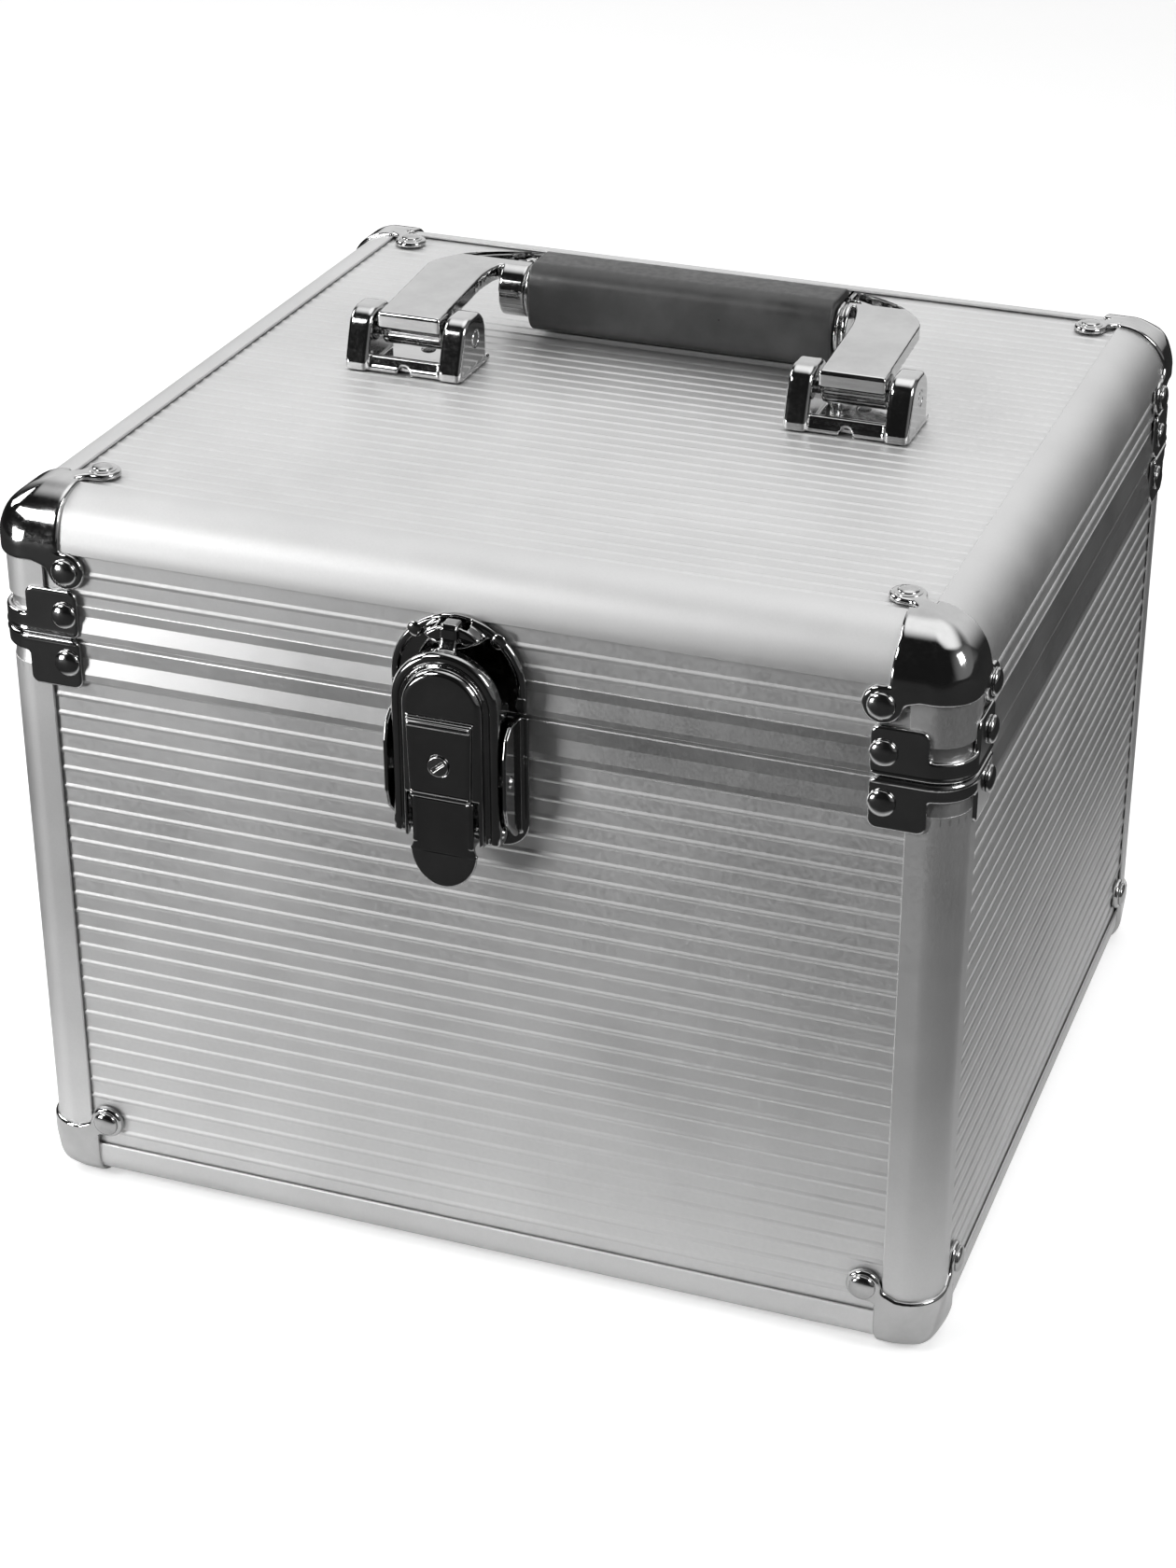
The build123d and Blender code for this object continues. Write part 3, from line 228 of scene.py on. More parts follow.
materials = {name: surface(name, look) for name, look in looks.items()}
slotOf = {entry["node"]: entry["material_slot"] for entry in frame["record"]["subparts"]}
for nodeName, node in frame["nodes"].items():
    node.data.materials.clear()
    node.data.materials.append(materials[slotOf[nodeName]])
print("materials")


# The piece that shows base_front_panel is named baseFrontPanel.
def blank(name, mesh):
    first, *others = name.split("_")
    name = first + "".join(word.capitalize() for word in others)
    mesh.name = name
    piece = bpy.data.objects.new(name, mesh)
    bpy.context.scene.collection.objects.link(piece)
    return piece


# Mesh from points in millimetres.
def meshFrom(name, points, faces, smooth=True):
    mesh = bpy.data.meshes.new(name)
    mesh.from_pydata((np.asarray(points, float) * mm).tolist(), [], faces)
    if smooth:
        mesh.shade_smooth()
    mesh.update()
    return mesh


def finished(piece, body, slotName, *nodeNames):
    if not piece.data.materials:
        piece.data.materials.append(materials[slotName])
    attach(piece, body)
    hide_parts(*nodeNames)


def hypot(*parts):
    return np.sqrt(sum(np.maximum(part, 0.0) ** 2 for part in parts))


def rectField(a, b, middle, half, radius=0.0):
    qa = np.abs(a - middle[0]) - (half[0] - radius)
    qb = np.abs(b - middle[1]) - (half[1] - radius)
    return hypot(qa, qb) + np.minimum(np.maximum(qa, qb), 0.0) - radius


def circleField(a, b, middle, radius):
    return np.sqrt((a - middle[0]) ** 2 + (b - middle[1]) ** 2) - radius


# An upright shape with a half-round top.
def archField(a, b, half, top, bottom):
    centre = top - half
    up = np.maximum(b - centre, 0.0)
    return np.maximum(np.sqrt(a**2 + up**2) - half, bottom - b)


def polygonField(a, b, corners):
    nearest = np.full(np.shape(a), 1e9)
    sign = np.ones(np.shape(a))
    count = len(corners)
    for index in range(count):
        pa, pb = corners[index]
        qa, qb = corners[index - 1]
        ea, eb = qa - pa, qb - pb
        wa, wb = a - pa, b - pb
        t = np.clip((wa * ea + wb * eb) / (ea * ea + eb * eb), 0.0, 1.0)
        nearest = np.minimum(nearest, (wa - ea * t) ** 2 + (wb - eb * t) ** 2)
        above, below = b >= pb, b < qb
        left = ea * wb > eb * wa
        flip = (above & below & left) | (~above & ~below & ~left)
        sign = np.where(flip, -sign, sign)
    return sign * np.sqrt(nearest)


# A flat outline given thickness from low to high, with rounded rims.
def slab(flat, along, low, high, radius=0.0):
    inner = flat + radius
    rise = np.abs(along - (low + high) / 2) - ((high - low) / 2 - radius)
    return hypot(inner, rise) + np.minimum(np.maximum(inner, rise), 0.0) - radius


def joined(a, b, soft):
    mix = np.clip(0.5 + 0.5 * (b - a) / soft, 0.0, 1.0)
    return b * (1 - mix) + a * mix - soft * mix * (1 - mix)


def common(a, b, soft):
    return -joined(-a, -b, soft)


netPlan = {"quickStep": 1.6, "probe": 0.04, "rounds": 3, "leastSlope": 0.05, "reach": 0.5}


# Closed surface of a field, as points and four-sided faces that look outward.
def netOf(field, low, high, step):
    low, high = np.array(low, float), np.array(high, float)
    counts = np.ceil((high - low) / step).astype(int) + 1
    axes = [low[i] + step * np.arange(counts[i]) for i in range(3)]
    grid = np.meshgrid(*axes, indexing="ij")
    values = field(*grid)
    inside = values < 0
    corners = [(i, j, k) for i in (0, 1) for j in (0, 1) for k in (0, 1)]
    nx, ny, nz = (counts - 1).tolist()

    def at(data, c):
        return data[c[0]:c[0] + nx, c[1]:c[1] + ny, c[2]:c[2] + nz]

    total = sum(at(inside, c).astype(np.int8) for c in corners)
    active = (total > 0) & (total < 8)
    cells = np.argwhere(active)
    ids = np.full(active.shape, -1, int)
    ids[active] = np.arange(len(cells))
    sums = np.zeros((len(cells), 3))
    hits = np.zeros(len(cells))
    for a in corners:
        for axis in range(3):
            if a[axis]:
                continue
            b = list(a)
            b[axis] = 1
            first = at(values, a)[active]
            second = at(values, b)[active]
            crossing = (first < 0) != (second < 0)
            t = np.where(crossing, first / np.where(crossing, first - second, 1.0), 0.0)
            point = np.array(a, float) + t[:, None] * np.eye(3)[axis]
            sums += point * crossing[:, None]
            hits += crossing
    points = low + step * (cells + sums / hits[:, None])
    faces = []
    order = {0: (1, 2), 1: (2, 0), 2: (0, 1)}
    for axis, (s, t) in order.items():
        start = [slice(1, -1)] * 3
        stop = [slice(1, -1)] * 3
        start[axis] = slice(0, -1)
        stop[axis] = slice(1, None)
        here, there = inside[tuple(start)], inside[tuple(stop)]
        for solidFirst in (True, False):
            where = np.argwhere((here & ~there) if solidFirst else (~here & there))
            where[:, s] += 1
            where[:, t] += 1
            ring = []
            for ds, dt in ((-1, -1), (0, -1), (0, 0), (-1, 0)):
                cell = where.copy()
                cell[:, s] += ds
                cell[:, t] += dt
                ring.append(ids[cell[:, 0], cell[:, 1], cell[:, 2]])
            quads = np.stack(ring, 1)
            if not solidFirst:
                quads = quads[:, ::-1]
            faces.append(quads)
    faces = np.concatenate(faces)
    faces = faces[(faces >= 0).all(1)]
    tiny, reach = netPlan["probe"], netPlan["reach"] * step
    for _ in range(netPlan["rounds"]):
        value = field(*points.T)
        probes = [field(*(points + shift).T) - field(*(points - shift).T) for shift in np.eye(3) * tiny]
        slope = np.stack(probes, 1) / (2 * tiny)
        size = np.maximum((slope**2).sum(1), netPlan["leastSlope"])
        points = points - np.clip(value / size, -reach, reach)[:, None] * slope
    return points, faces


def netPiece(name, net, signX=1, signY=1):
    points, faces = net
    if signX != signY:
        faces = faces[:, ::-1]
    return blank(name, meshFrom(name, points * (signX, signY, 1), faces.tolist()))


def finishedNet(nodeName, body, slotName, net, *signs):
    finished(netPiece(nodeName, net, *signs), body, slotName, nodeName)


# Points and faces of a closed section in the plane of outA and outB, run from start to end.
def sweptSection(section, start, end, outA, outB):
    start, end = Vector(start), Vector(end)
    points = []
    for base in (start, end):
        points += [base + outA * a + outB * b for a, b in section]
    count = len(section)
    faces = [(i, (i + 1) % count, (i + 1) % count + count, i + count) for i in range(count)]
    faces += [tuple(reversed(range(count))), tuple(range(count, 2 * count))]
    return [tuple(p) for p in points], faces


# One mesh from several lists of points and faces, with its normals turned outward.
def solidPiece(name, parts, bevel=0.0, smoothAngle=35.0):
    work = bmesh.new()
    for points, faces in parts:
        corners = [work.verts.new(Vector(p) * mm) for p in points]
        for face in faces:
            work.faces.new([corners[i] for i in face])
    bmesh.ops.recalc_face_normals(work, faces=work.faces)
    mesh = bpy.data.meshes.new(name)
    work.to_mesh(mesh)
    work.free()
    piece = blank(name, mesh)
    if bevel:
        rounding = piece.modifiers.new("rounding", "BEVEL")
        rounding.width = bevel * mm
        rounding.segments = 3
        rounding.limit_method = "ANGLE"
        rounding.angle_limit = radians(40)
        rounding.harden_normals = False
    mesh.shade_smooth()
    mesh.set_sharp_from_angle(angle=radians(smoothAngle))
    return baked(piece)


# Turns modifiers into a plain mesh.
def baked(piece):
    if piece.modifiers:
        bpy.context.view_layer.update()
        graph = bpy.context.evaluated_depsgraph_get()
        mesh = bpy.data.meshes.new_from_object(piece.evaluated_get(graph))
        piece.modifiers.clear()
        old = piece.data
        piece.data = mesh
        bpy.data.meshes.remove(old)
        mesh.name = piece.name
    return piece


def finishedSolid(nodeName, body, slotName, parts, **how):
    finished(solidPiece(nodeName, parts, **how), body, slotName, nodeName)


def dropPiece(piece):
    bpy.data.objects.remove(piece)


# Adds the meshes of some pieces to one mesh, and drops the pieces.
def absorb(mesh, pieces):
    work = bmesh.new()
    work.from_mesh(mesh)
    for piece in pieces:
        work.from_mesh(piece.data)
        dropPiece(piece)
    work.to_mesh(mesh)
    work.free()
    return mesh


# Geometry nodes: a copy of one object on each point, turned to face the point's outward direction.
def makeCopiesTree():
    inputs = {"Points": "Geometry", "Copy": "Object", "Finish": "Material", "Random Spin": "Float"}
    tree, given = newGroup("placeCopies", "GeometryNodeTree", inputs, {"Copies": "Geometry"})
    outward = addNode(tree, "GeometryNodeInputNamedAttribute", {"Name": "outward"}, data_type="FLOAT_VECTOR")
    face = addNode(tree, "FunctionNodeAlignRotationToVector", {"Vector": outward.outputs["Attribute"]}, axis="Z")
    inputs = {"Min": 0.0, "Max": given["Random Spin"], "Seed": 3}
    chance = addNode(tree, "FunctionNodeRandomValue", inputs, data_type="FLOAT")
    about = addNode(tree, "FunctionNodeAxisAngleToRotation", {"Axis": (0, 0, 1), "Angle": chance.outputs[1]})
    inputs = {"Rotation": face.outputs["Rotation"], "Rotate By": about.outputs["Rotation"]}
    turn = addNode(tree, "FunctionNodeRotateRotation", inputs, rotation_space="LOCAL").outputs["Rotation"]
    original = addNode(tree, "GeometryNodeObjectInfo", {"Object": given["Copy"]}).outputs["Geometry"]
    inputs = {"Points": given["Points"], "Instance": original, "Rotation": turn}
    copies = addNode(tree, "GeometryNodeInstanceOnPoints", inputs)
    real = addNode(tree, "GeometryNodeRealizeInstances", {"Geometry": copies.outputs["Instances"]})
    inputs = {"Geometry": real.outputs["Geometry"], "Material": given["Finish"]}
    finish = addNode(tree, "GeometryNodeSetMaterial", inputs)
    addNode(tree, "NodeGroupOutput", {"Copies": finish.outputs["Geometry"]})
    return tree


copiesTree = makeCopiesTree()


# One piece holding a copy of original at each place, given as (point, outward direction).
def copiesOf(name, original, places, slotName, spin=0.0):
    mesh = meshFrom(name, [point for point, _ in places], [], smooth=False)
    directions = mesh.attributes.new("outward", "FLOAT_VECTOR", "POINT")
    for item, (_, outward) in zip(directions.data, places):
        item.vector = outward
    piece = blank(name, mesh)
    modifier = piece.modifiers.new("copies", "NODES")
    modifier.node_group = copiesTree
    values = {"Copy": original, "Finish": materials[slotName], "Random Spin": spin}
    for item in copiesTree.interface.items_tree:
        if item.name in values:
            modifier[item.identifier] = values[item.name]
    return baked(piece)


# Points and faces of (radius, height) points, which start and end on the axis, turned about Z.
def lathe(outline, steps):
    points, faces, rings = [], [], []
    for radius, height in outline:
        count = 1 if radius < 1e-6 else steps
        rings.append([len(points) + step % count for step in range(steps)])
        for step in range(count):
            angle = 2 * pi * step / steps
            points.append((radius * cos(angle), radius * sin(angle), height))
    for low, high in zip(rings, rings[1:]):
        for step in range(steps):
            after = (step + 1) % steps
            faces.append(tuple(dict.fromkeys((low[step], low[after], high[after], high[step]))))
    return points, faces


# A pin along X with chamfered ends.
def pinPart(radius, x, halfLength, y, z, chamfer):
    outline = [(0.0, -halfLength), (radius - chamfer, -halfLength), (radius, -halfLength + chamfer)]
    outline += [(r, -h) for r, h in reversed(outline)]
    points, faces = lathe(outline, 32)
    return [(x + along, y + a, z + b) for a, b, along in points], faces


panelPlan = {
    "face": 1.2, "ribHeight": 0.28, "sideRibHeight": 0.55, "ribBase": 2.0, "ribCrest": 0.8, "ribRoot": 0.2,
    "thickness": 6.0, "wallPitch": 5.9, "topPitch": 5.45, "edgeGap": 10.0, "bottomGap": 9.0, "topGap": 12.5,
    "rimWeb": 5.1,
}


def ribbedPanel(nodeName, body, facePoint, outward, across, low, high, length, pitch):
    facePoint = Vector(facePoint)
    half = outward.cross(across) * (length / 2)
    back = -panelPlan["thickness"]
    board = [(back, low), (0, low), (0, high), (back, high)]
    panel = solidPiece(nodeName, [sweptSection(board, facePoint - half, facePoint + half, outward, across)])
    panel.data.materials.append(materials["panel_aluminium"])
    tall = panelPlan["sideRibHeight" if abs(outward.x) > 0.5 else "ribHeight"]
    base, crest = panelPlan["ribBase"] / 2, panelPlan["ribCrest"] / 2
    shape = [(-panelPlan["ribRoot"], -base), (0, -base), (tall * 0.55, -crest * 1.25), (tall, -crest * 0.55)]
    shape += [(a, -b) for a, b in reversed(shape)]
    rib = blank("ribShape", meshFrom("ribShape", *sweptSection(shape, -half, half, outward, across)))
    rib.data.set_sharp_from_angle(angle=radians(60))
    count = int((high - low) / pitch) - 1
    first = (low + high) / 2 - pitch * (count - 1) / 2
    places = [(tuple(facePoint + across * (first + pitch * i)), (0, 0, 1)) for i in range(count)]
    absorb(panel.data, [copiesOf("ribs", rib, places, "panel_aluminium")])
    dropPiece(rib)
    finished(panel, body, "panel_aluminium", nodeName)


def buildPanels():
    plan, seam, top, bottom = panelPlan, caseSize["seam"], caseSize["top"], caseSize["bottom"]
    hx, hy = caseSize["halfWidth"], caseSize["halfDepth"]
    faceX, faceY = hx - plan["face"], hy - plan["face"]
    wide, deep = 2 * (hx - plan["edgeGap"]), 2 * (hy - plan["edgeGap"])
    walls = {
        "front": ((0, -faceY, 0), -yDir, wide), "back": ((0, faceY, 0), yDir, wide),
        "left": ((-faceX, 0, 0), -xDir, deep), "right": ((faceX, 0, 0), xDir, deep),
    }
    spans = {
        "base": (bottom + plan["bottomGap"], seam - plan["rimWeb"], "case_base"),
        "lid": (seam + plan["rimWeb"], top - plan["topGap"], "lid"),
    }
    for prefix, (low, high, body) in spans.items():
        for side, (point, outward, length) in walls.items():
            nodeName = f"{prefix}_{side}_panel"
            ribbedPanel(nodeName, body, point, outward, zDir, low, high, length, plan["wallPitch"])
    covers = (
        ("lid_top_panel", "lid", top - plan["face"], zDir, plan["topGap"]),
        ("base_bottom_panel", "case_base", bottom + plan["face"], -zDir, plan["bottomGap"]),
    )
    for nodeName, body, height, outward, gap in covers:
        reach, length = hy - gap, 2 * (hx - gap)
        ribbedPanel(nodeName, body, (0, 0, height), outward, yDir, -reach, reach, length, plan["topPitch"])


# upright, top and bottom: how far the profile covers the faces, its outer radius, and where the panel's edge is.
profilePlan = {
    "leg": 0.7, "lip": 1.2, "inner": 7.2, "setback": 16.0, "soft": 0.25, "arcSteps": 18, "baseStart": 12.5,
    "rimGap": 10.1, "lidEnd": 16.0, "upright": (15.5, caseSize["uprightRadius"], 10.0),
    "top": (15.5, caseSize["topRadius"], 12.5), "bottom": (12.0, caseSize["bottomRadius"], 9.0),
}


def profileSection(kind):
    cover, radius, gap = profilePlan[kind]
    leg, inner, soft, steps = (profilePlan[key] for key in ("leg", "inner", "soft", "arcSteps"))
    lip = inner + profilePlan["lip"]
    reach = max(cover, lip)
    half = [(cover - soft, 0.0), (cover, soft), (cover, leg), (gap, leg), (gap, inner), (reach, inner), (reach, lip)]
    turns = [pi / 2 * step / steps for step in range(steps + 1)]
    arc = [(radius * (1 - cos(turn)), radius * (1 - sin(turn))) for turn in turns]
    return [(b, a) for a, b in reversed(half)] + arc + half + [(lip, lip)]


def edgeProfile(kind, middle, inwardA, inwardB, length):
    along = inwardA.cross(inwardB) * (length / 2)
    middle = Vector(middle)
    return sweptSection(profileSection(kind), middle - along, middle + along, inwardA, inwardB)


def buildProfiles():
    hx, hy, seam = caseSize["halfWidth"], caseSize["halfDepth"], caseSize["seam"]
    wide, deep = 2 * (hx - profilePlan["setback"]), 2 * (hy - profilePlan["setback"])
    sides = (
        ("front", 0, -hy, yDir, wide), ("back", 0, hy, -yDir, wide),
        ("left", -hx, 0, xDir, deep), ("right", hx, 0, -xDir, deep),
    )
    for prefix, body, kind, inwardB in (
        ("lid_edge_profile_", "lid", "top", -zDir), ("base_bottom_profile_", "case_base", "bottom", zDir),
    ):
        for side, x, y, inwardA, length in sides:
            part = edgeProfile(kind, (x, y, caseSize[kind]), inwardA, inwardB, length)
            finishedSolid(prefix + side, body, "profile_aluminium", [part], smoothAngle=22)

    def uprights(low, high):
        for corner, (sx, sy) in cornerNames.items():
            middle = (-sx * hx, -sy * hy, (low + high) / 2)
            yield corner, edgeProfile("upright", middle, xDir * sx, yDir * sy, high - low)

    for corner, part in uprights(caseSize["bottom"] + profilePlan["baseStart"], seam - profilePlan["rimGap"]):
        finishedSolid("base_corner_profile_" + corner, "case_base", "profile_aluminium", [part], smoothAngle=22)
    parts = [part for _, part in uprights(seam + profilePlan["rimGap"], caseSize["top"] - profilePlan["lidEnd"])]
    finishedSolid("lid_corner_profiles", "lid", "profile_aluminium", parts, smoothAngle=22)


rimPlan = {
    "height": 10.0, "web": 5.0, "gap": 0.1, "legBack": 1.15, "inner": 7.2, "lip": 8.4, "step": 0.8, "skirt": 12.8,
    "tongue": (3.0, 4.4, 3.0), "groove": (2.6, 5.3, 3.4),
}


def ringPath(inset):
    hx, hy = caseSize["halfWidth"] - inset, caseSize["halfDepth"] - inset
    radius = max(caseSize["uprightRadius"] - inset, 1.0)
    path = []
    for sx, sy, start in ((1, 1, 0), (-1, 1, 90), (-1, -1, 180), (1, -1, 270)):
        for step in range(13):
            angle = radians(start + 90 * step / 12)
            path.append((sx * (hx - radius) + radius * cos(angle), sy * (hy - radius) + radius * sin(angle)))
    return path


# A closed section of (inset, height) carried round the case.
def ringPart(section):
    loops = [[(x, y, height) for x, y in ringPath(inset)] for inset, height in section]
    count, sides = len(section), len(loops[0])
    points = [point for loop in loops for point in loop]
    faces = []
    for i in range(count):
        j = (i + 1) % count
        for k in range(sides):
            n = (k + 1) % sides
            faces.append((i * sides + k, i * sides + n, j * sides + n, j * sides + k))
    return points, faces


def buildRims():
    plan, seam = rimPlan, caseSize["seam"]
    high, web, back, inner, lip = plan["height"], plan["web"], plan["legBack"], plan["inner"], plan["lip"]
    step, skirt = plan["step"], plan["skirt"]
    near, far, rise = plan["tongue"]
    section = [
        (1.1, 0), (near, 0), (near, rise - 0.4), (near + 0.3, rise), (far - 0.3, rise), (far, rise - 0.4), (far, 0),
        (lip, 0), (lip, -high), (inner, -high), (inner, -web), (back, -web), (back, -skirt), (0.25, -skirt),
        (0, 0.25 - skirt), (0, -10.6), (step, -5.8), (step, -1.5), (1.1, -1.2),
    ]
    base = seam - plan["gap"]
    part = ringPart([(a, base + b) for a, b in section])
    finishedSolid("base_rim_frame", "case_base", "rim_aluminium", [part], smoothAngle=8.5)
    near, far, depth = plan["groove"]
    section = [
        (0.3, 0), (near, 0), (near, depth), (far, depth), (far, 0), (lip, 0), (lip, high), (inner, high),
        (inner, web), (back, web), (back, high), (step + 0.2, high), (step, high - 0.2), (step, 6.9), (0, 2.1),
        (0, 0.3),
    ]
    base = seam + plan["gap"]
    part = ringPart([(a, base + b) for a, b in section])
    finishedSolid("lid_rim_frame", "lid", "rim_aluminium", [part], smoothAngle=8.5)


buildPanels()
buildProfiles()
buildRims()
print("panels and profiles")


# For each kind of corner: the patch on its faces, the rivets' places with their lobes, and the edge's radius.
cornerPlan = {
    "step": 0.42, "edgeRound": 1.3, "crownSoft": 5.0, "under": 0.62, "deep": 15.0,
    "top": {
        "reach": 22.0, "neck": 19.0, "drop": 18.8, "leg": (22.9, 20.4, 5.6), "face": (23.4, 23.4, 5.1),
        "radius": caseSize["topRadius"],
    },
    "bottom": {
        "reach": 18.2, "neck": 16.0, "drop": 18.0, "leg": (20.9, 20.9, 5.1), "face": (20.9, 20.9, 5.1),
        "radius": caseSize["bottomRadius"],
    },
}


# Distance outside the rounded case near a corner; u, w and v run inward from its three faces.
def envelope(u, w, v, edgeRadius, crownSoft):
    far = 60.0
    upright = caseSize["uprightRadius"]
    plan = rectField(u, w, (far, far), (far, far), upright)
    front = rectField(u, v, (far, far), (far, far), edgeRadius)
    side = rectField(w, v, (far, far), (far, far), edgeRadius)
    away = np.sqrt(np.maximum(u, 0) ** 2 + np.maximum(w, 0) ** 2 + np.maximum(v, 0) ** 2)
    fade = np.clip((away - 7.0) / 11.0, 0.0, 1.0)
    soft = crownSoft * (1 - fade * fade * (3 - 2 * fade)) + 0.01
    return common(common(front, side, soft), plan, soft)


# The plate on one face: a corner patch with a round lobe for the rivet, hollowed between them.
def patchField(a, b, plan, rivetPlace):
    ra, rb, lobe = rivetPlace
    corners = [(-6, -6), (plan["reach"], -6), (plan["neck"], rb - lobe - 2.5), (ra + 1.5, rb), (ra, rb + 1.5)]
    corners += [(ra - lobe - 4.5, plan["drop"]), (-6, plan["drop"])]
    patch = polygonField(a, b, corners)
    return joined(patch, circleField(a, b, (ra, rb), lobe), 2.2)


def cornerField(kind):
    plan = cornerPlan[kind]
    top = kind == "top"

    def field(x, y, z):
        u, w = x + caseSize["halfWidth"], y + caseSize["halfDepth"]
        v = caseSize["top"] - z if top else z - caseSize["bottom"]
        case = envelope(u, w, v, plan["radius"], cornerPlan["crownSoft"])
        deep = cornerPlan["deep"]
        front = np.maximum(patchField(u, v, plan, plan["leg"]), w - deep)
        side = np.maximum(patchField(w, v, plan, plan["leg"]), u - deep)
        flat = np.maximum(patchField(u, w, plan, plan["face"]), v - deep)
        region = np.minimum(np.minimum(front, side), flat)
        outer = common(case - caseSize["proud"], region, cornerPlan["edgeRound"])
        return np.maximum(outer, -(case + cornerPlan["under"]))

    return field


bracketPlan = {
    "step": 0.42, "near": 9.6, "far": 25.6, "lidHeight": 14.6, "baseHeight": 15.2, "lidBand": 6.0, "baseBand": 5.4,
    "round": 2.6, "gap": 0.15, "edgeRound": 0.9, "bead": 0.3,
}


def bracketField(onLid):
    plan = bracketPlan
    tall = plan["lidHeight"] if onLid else plan["baseHeight"]
    band = plan["lidBand"] if onLid else plan["baseBand"]

    def face(a, rise):
        middle = ((plan["near"] + plan["far"]) / 2, plan["gap"] + tall / 2)
        flap = rectField(a, rise, middle, ((plan["far"] - plan["near"]) / 2, tall / 2), plan["round"])
        strip = rectField(a, rise, (4.0, plan["gap"] + band / 2), (10.0, band / 2), 0.0)
        return np.maximum(joined(flap, strip, 1.5), plan["gap"] - rise)

    def field(x, y, z):
        u, w = x + caseSize["halfWidth"], y + caseSize["halfDepth"]
        rise = (z - caseSize["seam"]) * (1 if onLid else -1)
        case = rectField(u, w, (60, 60), (60, 60), caseSize["uprightRadius"])
        region = np.minimum(np.maximum(face(u, rise), w - 15.0), np.maximum(face(w, rise), u - 15.0))
        bead = plan["bead"] * np.exp(-(((rise - plan["gap"] - 1.0) / 0.55) ** 2))
        outer = common(case - caseSize["proud"] + 0.1 - bead, region, plan["edgeRound"])
        return np.maximum(outer, -(case + 0.45))

    return field


def buildCorners():
    hx, hy, seam = -caseSize["halfWidth"], -caseSize["halfDepth"], caseSize["seam"]
    top, bottom = caseSize["top"], caseSize["bottom"]
    rows = (("lid", "lid", "top", 31, top - 28, top + 2), ("base", "case_base", "bottom", 28, bottom - 2, bottom + 28))
    for prefix, body, kind, reach, low, high in rows:
        net = netOf(cornerField(kind), (hx - 2, hy - 2, low), (hx + reach, hy + reach, high), cornerPlan["step"])
        for corner, signs in cornerNames.items():
            finishedNet(f"{prefix}_ball_corner_{corner}", body, "corner_chrome", net, *signs)
    for onLid, prefix, body in ((True, "lid", "lid"), (False, "base", "case_base")):
        low = (hx - 2, hy - 2, seam - 1 if onLid else seam - 17)
        high = (hx + 27, hy + 27, seam + 17 if onLid else seam + 1)
        points, faces = netOf(bracketField(onLid), low, high, bracketPlan["step"])
        allPoints, allFaces = [], []
        for index, (sx, sy) in enumerate(cornerNames.values()):
            allPoints.append(points * (sx, sy, 1))
            allFaces.append((faces if sx == sy else faces[:, ::-1]) + index * len(points))
        net = np.concatenate(allPoints), np.concatenate(allFaces)
        finishedNet(prefix + "_seam_brackets", body, "corner_chrome", net)


# striker and latchPlate: distance from the middle, then heights from the seam. handle: x, y and z.
rivetPlan = {
    "radius": 3.9, "height": 1.8, "topRadius": 3.0, "topHeight": 1.2, "smallRadius": 2.3, "smallHeight": 0.9,
    "flushRadius": 3.3, "sunkBy": 0.2, "seamInward": 21.7, "seamRise": 7.3,
    "hingeX": (-95, -65, 65, 95), "hingeRise": 14.5, "hingeProud": 1.5,
    "striker": (11.9, (21.1,)), "latchPlate": (9.5, (-6.0, -28.5)), "handle": (69.6, 13.0, 226.3),
}


def domeOutline(radius, height):
    outline = [(0.0, -0.8), (radius * 0.6, -0.8), (radius * 0.6, 0.0), (radius * 0.97, 0.0), (radius, height * 0.12)]
    for step in range(1, 11):
        angle = pi / 2 * step / 10
        outline.append((radius * cos(angle), height * (0.12 + 0.88 * sin(angle) ** 0.9)))
    outline[-1] = (0.0, height)
    return outline


# Heads on four kinds of place: big ones at the corners, small ones, and the corners' top and bottom ones.
def rivetPlaces(kind, height, up):
    plan = rivetPlan
    hx, hy, out, seam = (caseSize[key] for key in ("halfWidth", "halfDepth", "proud", "seam"))
    (legInward, legDrop, _), (faceX, faceY, _) = cornerPlan[kind]["leg"], cornerPlan[kind]["face"]
    places = {"big": [], "small": [], "top": [], "sunk": []}
    for sx, sy in ((-1, -1), (1, -1), (-1, 1), (1, 1)):
        for inward, rise in ((legInward, height - up * legDrop), (plan["seamInward"], seam + up * plan["seamRise"])):
            places["big"].append(((sx * (hx - inward), sy * (hy + out), rise), (0, sy, 0)))
            places["big"].append(((sx * (hx + out), sy * (hy - inward), rise), (sx, 0, 0)))
        x, y = sx * (hx - faceX), sy * (hy - faceY)
        if kind == "top":
            places["top"].append(((x, y, height + out), (0, 0, 1)))
        else:
            places["sunk"].append(((x, y, height - out + plan["sunkBy"]), (0, 0, -1)))
    hingeHeight = seam + up * plan["hingeRise"]
    places["small"] += [((x, hy + plan["hingeProud"], hingeHeight), (0, 1, 0)) for x in plan["hingeX"]]
    side, rises = plan["striker" if kind == "top" else "latchPlate"]
    places["small"] += [((x, -hy - out, seam + rise), (0, -1, 0)) for x in (-side, side) for rise in rises]
    if kind == "top":
        side, y, z = plan["handle"]
        places["small"] += [((x, y, z), (0, 0, 1)) for x in (-side, side)]
    return places


